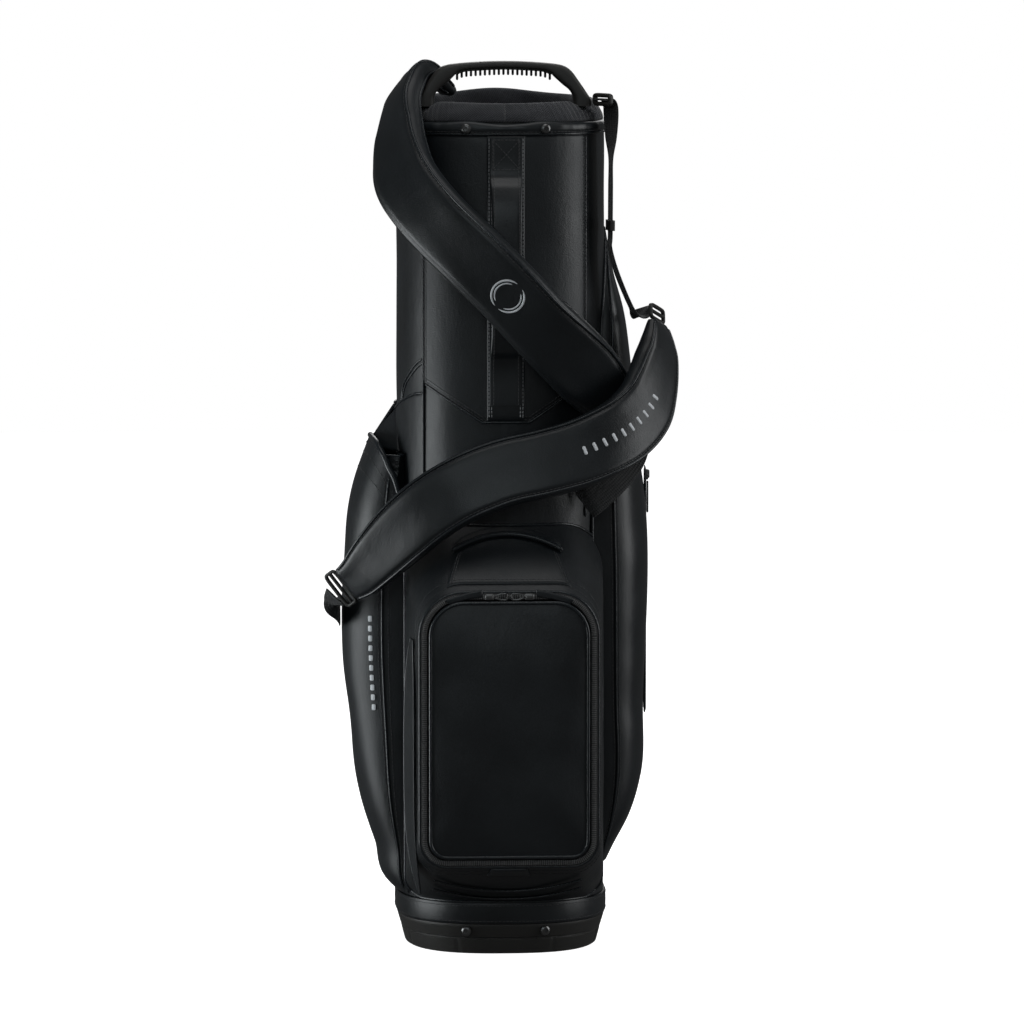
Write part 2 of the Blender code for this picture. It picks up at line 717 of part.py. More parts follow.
def zip_set(label, low, high, outward, rest, pull_length):
    """A straight zip: a tape from low to high, a slider that runs on it and a pull that hangs from the slider."""
    along = (high - low).normalized()
    outward = (outward - along * outward.dot(along)).normalized()
    across = along.cross(outward)
    tape = 0.0012
    middle = (low + high) / 2 + outward * (tape / 2)
    oriented_box(f"{label}_zip_track", middle, across, along, outward, (0.0130, (high - low).length, tape), zip_tape())
    seat = low + along * rest + outward * (tape + GAP)
    size = (0.0070, 0.0105, 0.0032)
    slider = oriented_box(f"{label}_slider", seat + outward * 0.0016, across, along, outward, size, dark_metal())
    pivot(slider, seat)
    hinge = seat - along * 0.0065 + outward * 0.0018
    middle = hinge - along * (0.0008 + pull_length / 2)
    size = (0.0066, pull_length, 0.0016)
    pivot(oriented_box(f"{label}_pull", middle, across, along, outward, size, dark_metal()), hinge)


def pocket_surface(side, bulges, spans, degrees, z):
    """A point on a side pocket's outer face, and the outward direction there."""
    def at(turn_degrees):
        return Vector(side_point(side, read_curve(bulges, z), read_curve(spans, z), math.radians(turn_degrees), z, 0.0))

    along_section = at(degrees + 2) - at(degrees - 2)
    outward = Vector((along_section.y, -along_section.x, 0)).normalized()
    return at(degrees), outward if outward.x * side > 0 else -outward


def make_side_zips():
    stand_off = 0.0016
    low, outward = pocket_surface(1, RIGHT_BULGE, RIGHT_HALF_SPAN, -3, 0.2350)
    high = pocket_surface(1, RIGHT_BULGE, RIGHT_HALF_SPAN, -3, 0.4900)[0]
    high.x = low.x
    zip_set("right", low + outward * 0.0008, high + outward * 0.0008, outward, 0.2460, 0.0320)
    low, outward = pocket_surface(-1, LEFT_BULGE, LEFT_HALF_SPAN, 66, 0.1500)
    high = pocket_surface(-1, LEFT_BULGE, LEFT_HALF_SPAN, 66, 0.2650)[0]
    zip_set("left", low + outward * stand_off, high + outward * stand_off, outward, 0.1060, 0.0260)

    slope = Vector((ROOT_HALF_X - MOUTH_HALF_X, ROOT_Y - MOUTH_Y, 0)).normalized()
    outward = Vector((-slope.y, -slope.x, 0))
    top = Vector((-(ROOT_HALF_X + MOUTH_HALF_X) / 2, (ROOT_Y + MOUTH_Y) / 2, 0.3080)) + outward * 0.0020
    along = Vector((0, 0, 1))
    across = along.cross(outward)
    pull = oriented_box("gusset_pull", top - along * 0.0133, across, along, outward, (0.0080, 0.0250, 0.0016), leather())
    pivot(pull, top)
    ribbon("side_flap", SIDE_FLAP, 0.0016, leather())


# Back


def make_back():
    """A hip pad sewn to the back."""
    step = 2 * math.pi / SIDES
    turns = [math.pi + i * step for i in range(-5, 6)]
    rows = []
    for height, reach in ((0.38, 0.003), (0.39, 0.012), (0.49, 0.015), (0.59, 0.012), (0.60, 0.003)):
        row = []
        for turn in turns:
            across = abs(turn - math.pi) / (5 * step)
            row.append(oval_point(-0.0006 - reach * (1 - 0.75 * across**4), turn, height))
        rows.append(row)
    outer = np.array(rows)
    inner = np.array([[oval_point(-GAP, turn, z) for turn in turns] for z in (0.38, 0.39, 0.49, 0.59, 0.60)])
    thick_patch("hip_pad", outer, inner, fabric())


# Straps


def smooth_stations(stations, steps):
    """Catmull-Rom curve through stations of (centre, across, width)."""
    rows = np.array([[*centre, *across, width] for centre, across, width in stations])
    padded = np.vstack([2 * rows[0] - rows[1], rows, 2 * rows[-1] - rows[-2]])
    made = []
    for i in range(1, len(padded) - 2):
        a, b, c, d = padded[i - 1 : i + 3]
        for k in range(steps):
            t = k / steps
            made.append(
                0.5 * (2 * b + (c - a) * t + (2 * a - 5 * b + 4 * c - d) * t**2 + (3 * b - a - 3 * c + d) * t**3)
            )
    made.append(rows[-1])
    return np.array(made)


def ribbon(name, stations, thick, finish, steps=2, edge=0.0):
    """A strap through its stations; edge is how far its long edges are rounded off."""
    rows = smooth_stations(stations, steps)
    tangents = np.gradient(rows[:, :3], axis=0)
    rings = []
    for row, tangent in zip(rows, tangents):
        centre, across, width = Vector(row[:3]), Vector(row[3:6]), row[6]
        along = Vector(tangent).normalized()
        across = (across - along * across.dot(along)).normalized()
        outward = across.cross(along)
        half, deep = width / 2, thick / 2
        if edge:
            section = [
                (-half, -deep + edge), (-half + edge, -deep), (half - edge, -deep), (half, -deep + edge),
                (half, deep - edge), (half - edge, deep), (-half + edge, deep), (-half, deep - edge),
            ]
        else:
            section = [(-half, -deep), (half, -deep), (half, deep), (-half, deep)]
        rings.append([centre + across * u + outward * v for u, v in section])
    return loft(name, rings, finish)


def tilt(angle, lean):
    """A strap's across direction: angle in the front plane, lean towards the front, in degrees."""
    a, b = math.radians(angle), math.radians(lean)
    return (math.cos(b) * math.cos(a), -math.sin(b), math.cos(b) * math.sin(a))


UPPER_STRAP = [
    ((-0.052, -0.027, 0.8745), (0.10, -1.0, 0.10), 0.040),
    ((-0.070, -0.031, 0.8895), (0.00, -1.0, 0.10), 0.046),
    ((-0.087, -0.044, 0.8890), (-0.05, -1.0, 0.12), 0.054),
    ((-0.1020, -0.068, 0.8700), (0.25, -1.0, 0.10), 0.062),
    ((-0.1070, -0.086, 0.8400), tilt(8, 62), 0.068),
    ((-0.1065, -0.102, 0.8140), tilt(20, 48), 0.071),
    ((-0.1020, -0.118, 0.7920), tilt(28, 33), 0.072),
    ((-0.0880, -0.136, 0.7700), tilt(34, 26), 0.072),
    ((-0.0670, -0.152, 0.7460), tilt(41, 22), 0.072),
    ((-0.0350, -0.164, 0.7150), tilt(43, 20), 0.072),
    ((0.0000, -0.167, 0.6800), tilt(45, 20), 0.072),
    ((0.0300, -0.162, 0.6480), tilt(45, 20), 0.072),
    ((0.0580, -0.147, 0.6200), tilt(46, 12), 0.072),
    ((0.0850, -0.121, 0.5910), tilt(44, -2), 0.070),
    ((0.1070, -0.098, 0.5640), tilt(42, -3), 0.056),
    ((0.1200, -0.088, 0.5490), tilt(42, 0), 0.040),
]
LOWER_STRAP = [
    ((0.1560, -0.080, 0.6420), tilt(-42, -58), 0.040),
    ((0.1560, -0.086, 0.6220), tilt(-32, -55), 0.056),
    ((0.1540, -0.092, 0.6030), tilt(-28, -50), 0.066),
    ((0.1480, -0.103, 0.5780), tilt(-36, -38), 0.070),
    ((0.1390, -0.116, 0.5570), tilt(-46, -22), 0.070),
    ((0.1210, -0.132, 0.5390), tilt(-57, -6), 0.070),
    ((0.0980, -0.145, 0.5260), tilt(-63, 5), 0.070),
    ((0.0710, -0.153, 0.5150), tilt(-68, 12), 0.070),
    ((0.0370, -0.159, 0.5060), tilt(-70, 16), 0.070),
    ((0.0000, -0.161, 0.4980), tilt(-68, 18), 0.070),
    ((-0.0290, -0.161, 0.4880), tilt(-61, 18), 0.070),
    ((-0.0560, -0.159, 0.4750), tilt(-57, 18), 0.069),
    ((-0.0810, -0.152, 0.4580), tilt(-57, 16), 0.068),
    ((-0.1040, -0.141, 0.4370), tilt(-58, 14), 0.066),
    ((-0.1270, -0.126, 0.4120), tilt(-57, 10), 0.058),
    ((-0.1450, -0.111, 0.3910), tilt(-57, 5), 0.048),
    ((-0.1600, -0.100, 0.3790), tilt(-56, 0), 0.038),
]
SIDE_FLAP = [
    ((-0.0968, -0.1650, 0.3300), (0.27, -0.96, 0.0), 0.008),
    ((-0.0982, -0.1600, 0.3100), (0.27, -0.96, 0.0), 0.018),
    ((-0.0992, -0.1580, 0.2800), (0.27, -0.96, 0.0), 0.028),
    ((-0.0996, -0.1580, 0.2200), (0.27, -0.96, 0.0), 0.032),
    ((-0.0992, -0.1580, 0.1600), (0.27, -0.96, 0.0), 0.031),
    ((-0.0976, -0.1580, 0.1250), (0.27, -0.96, 0.0), 0.027),
    ((-0.0940, -0.1570, 0.0950), (0.27, -0.96, 0.0), 0.020),
    ((-0.0890, -0.1540, 0.0700), (0.27, -0.96, 0.0), 0.008),
]
LEFT_TAB = [
    ((-0.0500, -0.0275, 0.8590), (0.0, -1.0, 0.0), 0.020),
    ((-0.0470, -0.0275, 0.8640), (0.1, -1.0, 0.0), 0.020),
]
HANG_ACROSS = Vector((0.5524, -0.8336, 0.0))  # the right strap's webbing hangs nearly edge-on to the front
HANG_OUTWARD = Vector((0.8336, 0.5524, 0.0))
HANG_TOP = Vector((0.1085, -0.0850, 0.8520))
HANG = Vector((-0.0005, 0.0030, -0.1200))
LOOP_CENTRE = Vector((0.1000, -0.0870, 0.8690))
WEBBING_WIDTH = 0.024
RIGHT_WEBBING = [
    (LOOP_CENTRE - HANG_OUTWARD * 0.0030, HANG_ACROSS, WEBBING_WIDTH),
    (LOOP_CENTRE + HANG_OUTWARD * 0.0040, HANG_ACROSS, WEBBING_WIDTH),
    (LOOP_CENTRE + Vector((0.0075, 0.0030, -0.0050)), HANG_ACROSS, WEBBING_WIDTH),
    (HANG_TOP, HANG_ACROSS, WEBBING_WIDTH),
    (HANG_TOP + HANG * 0.25, HANG_ACROSS, WEBBING_WIDTH),
    (HANG_TOP + HANG * 0.60, HANG_ACROSS, WEBBING_WIDTH),
    (HANG_TOP + HANG * 1.00, HANG_ACROSS, WEBBING_WIDTH),
    (HANG_TOP + HANG * 1.12, HANG_ACROSS, WEBBING_WIDTH),
    ((0.1160, -0.0790, 0.6900), (0.50, -0.86, 0.0), WEBBING_WIDTH),
    ((0.1310, -0.0720, 0.6560), (0.40, -0.90, 0.0), WEBBING_WIDTH),
    ((0.1400, -0.0640, 0.6480), (0.30, -0.90, 0.0), WEBBING_WIDTH),
    ((0.1440, -0.0560, 0.6560), (0.30, -0.90, -0.3), WEBBING_WIDTH),
]
TAIL_WEBBING = [
    ((0.1260, -0.0850, 0.5430), tilt(42, 0), 0.036),
    ((0.1400, -0.0850, 0.5240), tilt(15, 0), 0.036),
    ((0.1390, -0.0960, 0.5020), tilt(-30, 0), 0.036),
    ((0.1180, -0.1080, 0.4800), tilt(-55, 0), 0.036),
    ((0.0930, -0.1125, 0.4650), tilt(-62, 0), 0.034),
    ((0.0800, -0.1100, 0.4590), tilt(-64, 0), 0.032),
]
LEFT_WEBBING = [
    ((-0.1748, -0.0880, 0.3670), tilt(-56, 0), 0.020),
    ((-0.1730, -0.0760, 0.3570), tilt(-50, -45), 0.022),
    ((-0.1690, -0.0520, 0.3470), (0.0, 0.3, 0.95), 0.024),
    ((-0.1662, -0.0300, 0.3410), (0.0, 0.2, 0.98), 0.024),
    ((-0.1657, -0.0120, 0.3380), (0.0, 0.1, 0.99), 0.024),
]


def slotted_plate(name, centre, across, along, size, bar, finish):
    """A flat buckle: two slots either side of its middle bar, or one slot with no bar; size is across, along, thick."""
    across, along = Vector(across).normalized(), Vector(along).normalized()
    outward = across.cross(along)
    half_u, half_v = size[0] / 2, size[1] / 2
    centre = Vector(centre)

    def corners(u0, u1, v0, v1, depth):
        return [centre + across * u + along * v + outward * depth for u, v in ((u0, v0), (u1, v0), (u1, v1), (u0, v1))]

    plate = extrusion(name, corners(-half_u, half_u, -half_v, half_v, -size[2] / 2), outward * size[2], finish)
    rim = 0.0024
    slots = ((-half_v + rim, half_v - rim),) if bar is None else ((-half_v + rim, -bar / 2), (bar / 2, half_v - rim))
    for number, (low, high) in enumerate(slots):
        outline = corners(-half_u + rim, half_u - rim, low, high, -0.01)
        cut(plate, extrusion(f"{name}_slot_{number}", outline, outward * 0.02, finish))
    return plate


def make_straps():
    ribbon("strap_pad_upper", UPPER_STRAP, PAD_THICK, leather(), edge=0.004)
    ribbon("strap_pad_lower", LOWER_STRAP, PAD_THICK, leather(), edge=0.004)
    ribbon("strap_tab_left", LEFT_TAB, WEBBING_THICK, webbing())
    ribbon("webbing_right", RIGHT_WEBBING, WEBBING_THICK, webbing())
    ribbon("webbing_tail", TAIL_WEBBING, WEBBING_THICK, webbing())
    ribbon("webbing_left", LEFT_WEBBING, WEBBING_THICK, webbing())
    for label, station, direction in (("left", LOWER_STRAP[-1], -1), ("right", LOWER_STRAP[0], 1)):
        neighbour = LOWER_STRAP[-2] if direction < 0 else LOWER_STRAP[1]
        along = (Vector(station[0]) - Vector(neighbour[0])).normalized()
        across = Vector(station[1])
        across = (across - along * across.dot(along)).normalized()
        centre = Vector(station[0]) + along * 0.0095
        slotted_plate(f"strap_buckle_{label}", centre, across, along, (0.0420, 0.0160, 0.0040), 0.0030, plastic())
    slotted_plate(
        "strap_loop_right", LOOP_CENTRE, HANG_ACROSS, (0, 0, 1), (0.0310, 0.0130, 0.0040), None, plastic()
    )
    keeper = []
    for half_u, half_v, order in ((0.0150, 0.0034, (-1, 1)), (0.0124, 0.0014, (1, -1))):
        for end in order:
            middle = HANG_TOP + HANG * 0.92 + HANG.normalized() * 0.0070 * end
            corners = ((-1, -1), (1, -1), (1, 1), (-1, 1))
            keeper.append([middle + HANG_ACROSS * half_u * u + HANG_OUTWARD * half_v * v for u, v in corners])
    pivot(loft("strap_keeper", keeper, plastic(), joined=True), HANG_TOP + HANG * 0.92)


def main():
    clear_scene()
    boot = make_base()
    tube = make_tube()
    make_screws("base", 0.0245, -0.0004, 0.0078, [boot, tube])
    collar, binding = make_collar()
    make_screws("collar", 0.8408, -0.0016, 0.0105, [collar, binding])
    make_divider()
    make_handle()
    make_front()
    make_ball_pocket()
    make_valuables_pocket()
    make_left_pocket()
    make_right_pocket()
    make_side_zips()
    make_back()
    make_straps()


main()
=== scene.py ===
"""Golf staff bag: the finished leather, cloth, plastic and metal round the bag's packed frame.

Metres, +Z up, the bag's front towards -Y. Each shape is a surface of two parameters worked out as arrays.
"""

import math

import bmesh
import bpy
import numpy as np
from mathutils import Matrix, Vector


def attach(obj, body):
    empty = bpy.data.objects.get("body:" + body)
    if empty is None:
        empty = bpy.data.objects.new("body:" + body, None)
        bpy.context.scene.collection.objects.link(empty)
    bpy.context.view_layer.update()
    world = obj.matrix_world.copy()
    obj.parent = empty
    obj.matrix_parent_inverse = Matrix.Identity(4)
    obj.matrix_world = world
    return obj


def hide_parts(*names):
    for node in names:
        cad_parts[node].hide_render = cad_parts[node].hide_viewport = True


bl_info = {
    "name": "Golf Staff Bag",
    "version": (1, 0, 0),
    "blender": (4, 5, 0),
    "location": "3D View > Sidebar > Staff Bag",
    "description": "Builds the finished surfaces of a golf staff bag round its frame",
    "category": "Object",
}

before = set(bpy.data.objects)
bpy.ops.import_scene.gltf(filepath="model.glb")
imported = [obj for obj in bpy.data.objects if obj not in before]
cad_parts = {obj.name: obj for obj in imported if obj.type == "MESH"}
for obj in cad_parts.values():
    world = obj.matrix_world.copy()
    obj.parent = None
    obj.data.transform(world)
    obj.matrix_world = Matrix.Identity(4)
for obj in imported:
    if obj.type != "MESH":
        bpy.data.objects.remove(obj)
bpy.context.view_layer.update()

BODY = "bag"
HALF_WIDTH = 0.106  # body tube, across
HALF_DEPTH = 0.120  # body tube, front to back
SQUARENESS = 2.6  # exponent of the rounded-square outline
WALL = 0.0038
TUBE_TOP = 0.8350
TUBE_FOOT = 0.0199
BAND_LOW, BAND_HIGH = 0.0322, 0.0535
BOOT_TOP = 0.0318
PANEL_TOP = 0.8340
PANEL_THICK = 0.0019
STRIP_HALF = 0.0193
STRIP_LOW, STRIP_HIGH = 0.5465, 0.8338
HANDLE_Y = -0.073
HANDLE_DEPTH = 0.020
COLLAR_TOP = 0.8620
CROSS_BAR_Y = 0.037
CURTAIN_HALF_X, CURTAIN_HALF_Y = 0.0875, 0.1015
CURTAIN_LOW, CURTAIN_HIGH = 0.0114, 0.8416

MOUTH_Y = -0.1862
MOUTH = (0.0905, 0.100, 0.380, 0.028, 0.045)  # half width, low, high, low radius, high radius
ROOT = (0.1005, 0.0550, 0.4400, 0.020, 0.045)
ROOT_Y = -0.0745
LID_INSET = 0.0100
ZIP_Z = 0.3750

POCKET_SKEW = 0.62
POCKET_WALL = 0.0035
LEFT_BULGE = (
    (0.056, 0.003), (0.063, 0.0105), (0.103, 0.0225), (0.145, 0.0365), (0.218, 0.0475),
    (0.338, 0.0565), (0.445, 0.0485), (0.480, 0.0415), (0.525, 0.0260),
)
LEFT_MOUTH = ((-90, 0.445), (-82, 0.474), (-67, 0.495), (-40, 0.514), (-8, 0.521), (30, 0.516), (90, 0.505))
LEFT_SPAN = ((0.056, 0.068), (0.525, 0.068))
RIGHT_BULGE = (
    (0.086, 0.003), (0.100, 0.010), (0.130, 0.026), (0.172, 0.0385), (0.245, 0.0405), (0.475, 0.0400),
    (0.510, 0.0345), (0.550, 0.0310), (0.608, 0.0260), (0.650, 0.0200), (0.691, 0.0090), (0.736, 0.0010),
)
RIGHT_SPAN = ((0.086, 0.066), (0.600, 0.066), (0.660, 0.052), (0.700, 0.035), (0.736, 0.014))


# Shader sockets


class Socket:
    """A shader socket that takes Python arithmetic; every operation becomes a Math node."""

    def __init__(self, finish, link):
        self.finish = finish
        self.link = link

    def __add__(self, other):
        return self.finish.math("ADD", self, other)

    def __sub__(self, other):
        return self.finish.math("SUBTRACT", self, other)

    def __rsub__(self, other):
        return self.finish.math("SUBTRACT", other, self)

    def __mul__(self, other):
        return self.finish.math("MULTIPLY", self, other)

    def __pow__(self, other):
        return self.finish.math("POWER", self, other)

    __radd__ = __add__
    __rmul__ = __mul__


class Finish:
    """One material: a Principled shader whose varying inputs come from patterns on the surface."""

    def __init__(self, name):
        self.material = bpy.data.materials.new(name)
        self.material.use_nodes = True
        self.tree = self.material.node_tree
        self.shader = self.tree.nodes["Principled BSDF"]

    def plug(self, socket, value):
        if isinstance(value, Socket):
            self.tree.links.new(value.link, socket)
        else:
            socket.default_value = value

    def node(self, kind, settings=None, sockets=None, output=0):
        """Any node: its settings first, then the values or links of its sockets."""
        made = self.tree.nodes.new(kind)
        for key, value in (settings or {}).items():
            setattr(made, key, value)
        for key, value in (sockets or {}).items():
            self.plug(made.inputs[key], value)
        return Socket(self, made.outputs[output])

    def math(self, operation, *values):
        return self.node("ShaderNodeMath", {"operation": operation}, dict(enumerate(values)))

    def ease(self, value, low, high):
        """0 below low, 1 above high, smooth between."""
        return self.node(
            "ShaderNodeMapRange", {"interpolation_type": "SMOOTHSTEP"}, {0: value, 1: low, 2: high, 3: 0.0, 4: 1.0}
        )

    def place(self, stretch=(1, 1, 1), turn=(0, 0, 0)):
        """Object coordinates, stretched and turned."""
        where = self.node("ShaderNodeTexCoord", output="Object")
        return self.node("ShaderNodeMapping", sockets={"Vector": where, "Scale": stretch, "Rotation": turn})

    def noise(self, where, scale, detail=2.0, roughness=0.5):
        return self.node(
            "ShaderNodeTexNoise",
            sockets={"Vector": where, "Scale": scale, "Detail": detail, "Roughness": roughness},
        )

    def cells(self, where, scale, feature="F1"):
        return self.node("ShaderNodeTexVoronoi", {"feature": feature}, {"Vector": where, "Scale": scale})

    def cloth(self):
        """(across, along) in metres, from the piece's own attribute."""
        where = self.node("ShaderNodeAttribute", {"attribute_name": "cloth"}, output="Vector")
        parts = self.tree.nodes.new("ShaderNodeSeparateXYZ")
        self.tree.links.new(where.link, parts.inputs[0])
        return Socket(self, parts.outputs[0]), Socket(self, parts.outputs[1])

    def blend(self, share, first, second):
        return self.node(
            "ShaderNodeMix", {"data_type": "RGBA"},
            {"Factor": share, 6: (*first, 1.0), 7: (*second, 1.0)}, output=2,
        )

    def bump(self, height, distance, strength=1.0):
        normal = self.node(
            "ShaderNodeBump", sockets={"Height": height, "Distance": distance, "Strength": strength}
        )
        self.plug(self.shader.inputs["Normal"], normal)

    def set(self, **values):
        for key, value in values.items():
            self.plug(self.shader.inputs[key.replace("_", " ")], value)
        return self.material


def tone(colour, factor):
    return tuple(value * factor for value in colour)


def leather_like(name, colour, low, high, grain, crease):
    """Coated leather: pebbled cells, a few long soft creases, and shine that comes and goes."""
    finish = Finish(name)
    where = finish.place()
    pebbles = finish.cells(where, grain, "SMOOTH_F1")
    folds = finish.noise(finish.place((1.0, 1.0, 0.45)), 34.0, 4.0, 0.62)
    patches = finish.noise(where, 11.0, 3.0, 0.55)
    finish.bump(folds * crease + pebbles * 0.16, 0.0011, 0.75)
    finish.set(
        Base_Color=finish.blend(finish.ease(patches, 0.30, 0.72), tone(colour, 0.80), tone(colour, 1.22)),
        Roughness=finish.ease(patches, 0.25, 0.75) * (high - low) + low,
    )
    return finish.material


def make_leather(name, colours):
    return leather_like(name, colours.leather, 0.38, 0.48, 820.0, 1.0)


def make_smooth_leather(name, colours):
    return leather_like(name, colours.leather, 0.32, 0.42, 1100.0, 0.55)


def make_piping(name, colours):
    return leather_like(name, tone(colours.leather, 1.35), 0.20, 0.27, 1400.0, 0.30)


def make_plastic(name, colours):
    finish = Finish(name)
    where = finish.place()
    stipple = finish.noise(where, 1500.0, 2.0, 0.6)
    patches = finish.noise(where, 16.0, 3.0)
    finish.bump(stipple, 0.00022, 0.55)
    return finish.set(
        Base_Color=finish.blend(patches, tone(colours.plastic, 0.85), tone(colours.plastic, 1.2)),
        Roughness=patches * 0.14 + 0.42,
    )


def make_twill(name, colours):
    finish = Finish(name)
    across, along = finish.cloth()
    ridge = finish.math("SINE", (across + along * 1.05) * (2 * math.pi / 0.0027))
    thread = finish.math("SINE", (across - along * 0.6) * (2 * math.pi / 0.0011))
    weave = ridge * 0.5 + thread * 0.18 + 0.5
    patches = finish.noise(finish.place(), 30.0, 3.0)
    finish.bump(weave, 0.00045, 0.85)
    return finish.set(
        Base_Color=finish.blend(finish.ease(weave, 0.1, 1.0), tone(colours.cloth, 0.45), tone(colours.cloth, 1.55)),
        Roughness=patches * 0.12 + 0.72,
        Sheen_Weight=0.25,
    )


def make_webbing(name, colours):
    finish = Finish(name)
    across, along = finish.cloth()
    rib = finish.math("SINE", along * (2 * math.pi / 0.0021))
    cord = finish.math("SINE", across * (2 * math.pi / 0.0030))
    weave = rib * 0.35 + cord * 0.35 + 0.5
    fuzz = finish.noise(finish.place(), 600.0, 2.0)
    finish.bump(weave, 0.0004, 0.8)
    return finish.set(
        Base_Color=finish.blend(weave * 0.7 + fuzz * 0.3, tone(colours.webbing, 0.55), tone(colours.webbing, 1.6)),
        Roughness=fuzz * 0.15 + 0.68,
        Sheen_Weight=0.15,
    )


def make_velour(name, colours):
    finish = Finish(name)
    pile = finish.noise(finish.place(), 900.0, 3.0, 0.7)
    patches = finish.noise(finish.place((1, 1, 0.3)), 22.0, 3.0)
    finish.bump(pile, 0.0005, 0.7)
    return finish.set(
        Base_Color=finish.blend(patches, tone(colours.cloth, 0.7), tone(colours.cloth, 1.3)),
        Roughness=patches * 0.08 + 0.86,
        Sheen_Weight=0.4,
    )


def make_spacer_mesh(name, colours):
    finish = Finish(name)
    holes = finish.cells(finish.place(), 420.0, "DISTANCE_TO_EDGE")
    web = finish.ease(holes, 0.02, 0.22)
    finish.bump(1.0 - web, 0.0008, 0.8)
    return finish.set(
        Base_Color=finish.blend(web, tone(colours.cloth, 1.8), tone(colours.cloth, 0.35)),
        Roughness=web * 0.1 + 0.76,
    )


def make_lining(name, colours):
    finish = Finish(name)
    folds = finish.noise(finish.place((1, 1, 1.6)), 60.0, 4.0, 0.65)
    finish.bump(folds, 0.0022, 0.8)
    return finish.set(
        Base_Color=finish.blend(folds, tone(colours.leather, 0.5), tone(colours.leather, 1.0)),
        Roughness=folds * 0.10 + 0.14,
    )


def make_tape(name, colours):
    finish = Finish(name)
    weave = finish.noise(finish.place((1, 1, 2.2)), 1300.0, 2.0, 0.6)
    finish.bump(weave, 0.0004, 0.7)
    return finish.set(
        Base_Color=finish.blend(weave, tone(colours.webbing, 0.4), tone(colours.webbing, 1.1)),
        Roughness=weave * 0.2 + 0.62,
    )


def make_coil(name, colours):
    finish = Finish(name)
    patches = finish.noise(finish.place(), 300.0, 2.0)
    return finish.set(
        Base_Color=finish.blend(patches, tone(colours.metal, 0.9), tone(colours.metal, 1.7)),
        Roughness=patches * 0.12 + 0.28,
    )


def make_metal(name, colours):
    finish = Finish(name)
    where = finish.place()
    wear = finish.noise(where, 90.0, 4.0, 0.6)
    scratches = finish.noise(finish.place((1, 1, 14)), 260.0, 2.0)
    finish.bump(scratches, 0.00006, 0.5)
    return finish.set(
        Base_Color=finish.blend(wear, tone(colours.metal, 0.9), tone(colours.metal, 2.2)),
        Roughness=wear * 0.18 + 0.20,
        Metallic=0.92,
    )


def make_thread(name, colours):
    finish = Finish(name)
    twist = finish.noise(finish.place((1, 1, 1)), 1800.0, 2.0)
    return finish.set(
        Base_Color=finish.blend(twist, tone(colours.thread, 0.6), tone(colours.thread, 1.25)),
        Roughness=twist * 0.2 + 0.5,
    )


def make_pale_print(name, colours):
    finish = Finish(name)
    wear = finish.noise(finish.place(), 700.0, 3.0)
    return finish.set(
        Base_Color=finish.blend(wear, tone(colours.thread, 2.1), tone(colours.thread, 2.8)),
        Roughness=wear * 0.2 + 0.4,
    )


def make_dark_thread(name, colours):
    finish = Finish(name)
    twist = finish.noise(finish.place(), 1800.0, 2.0)
    return finish.set(
        Base_Color=finish.blend(twist, tone(colours.thread, 0.08), tone(colours.thread, 0.26)),
        Roughness=twist * 0.2 + 0.45,
    )


def make_rubber(name, colours):
    finish = Finish(name)
    dust = finish.noise(finish.place(), 240.0, 3.0, 0.6)
    finish.bump(dust, 0.0002, 0.5)
    return finish.set(
        Base_Color=finish.blend(dust, tone(colours.plastic, 0.55), tone(colours.plastic, 1.0)),
        Roughness=dust * 0.15 + 0.62,
    )


def make_floor(name, colours):
    finish = Finish(name)
    cloud = finish.noise(finish.place(), 1.5, 2.0)
    return finish.set(
        Base_Color=finish.blend(cloud, tone(colours.floor, 0.985), colours.floor),
        Roughness=cloud * 0.05 + 0.55,
        Emission_Color=(1.0, 1.0, 1.0, 1.0),
        Emission_Strength=0.95,
    )


MAKERS = {
    "leather": make_leather,
    "smooth_leather": make_smooth_leather,
    "piping": make_piping,
    "plastic": make_plastic,
    "twill": make_twill,
    "webbing": make_webbing,
    "velour": make_velour,
    "spacer_mesh": make_spacer_mesh,
    "lining": make_lining,
    "zip_tape": make_tape,
    "zip_coil": make_coil,
    "dark_metal": make_metal,
    "light_thread": make_thread,
    "dark_thread": make_dark_thread,
    "pale_print": make_pale_print,
    "rubber": make_rubber,
    "floor": make_floor,
}


def finish_of(name):
    """The material of that name, made on first use."""
    known = bpy.data.materials.get("bag_" + name)
    if known:
        return known
    return MAKERS[name]("bag_" + name, bpy.context.scene.bag_colours)


# Surfaces


class Part:
    """Points, faces and cloth coordinates of one closed surface."""

    def __init__(self, points, faces, cloth=None):
        self.points = points
        self.faces = faces
        self.cloth = np.zeros((len(points), 2)) if cloth is None else cloth


def quads(rows, columns, wrap_rows=False, wrap_columns=False):
    """Four corners of every cell of a grid, joined round where it wraps."""
    row = np.arange(rows if wrap_rows else rows - 1)[:, None]
    column = np.arange(columns if wrap_columns else columns - 1)[None, :]
    below, right = (row + 1) % rows, (column + 1) % columns
    corners = (row * columns + column, row * columns + right, below * columns + right, below * columns + column)
    return np.stack(np.broadcast_arrays(*corners), -1).reshape(-1, 4)


def tube_part(grid, wrap_rows=False, cloth=None):
    """A grid whose columns close on themselves; open ends get a fan to their middle."""
    rows, columns = grid.shape[:2]
    points = grid.reshape(-1, 3)
    faces = quads(rows, columns, wrap_rows, True).tolist()
    flat = None if cloth is None else cloth.reshape(-1, 2)
    if not wrap_rows:
        points = np.vstack([points, grid[0].mean(0), grid[-1].mean(0)])
        ring = np.arange(columns)
        following = (ring + 1) % columns
        last = (rows - 1) * columns
        middle = rows * columns
        faces += np.stack([following, ring, np.full(columns, middle)], -1).tolist()
        faces += np.stack([last + ring, last + following, np.full(columns, middle + 1)], -1).tolist()
        if flat is not None:
            flat = np.vstack([flat, flat[:1], flat[-1:]])
    return Part(points, faces, flat)


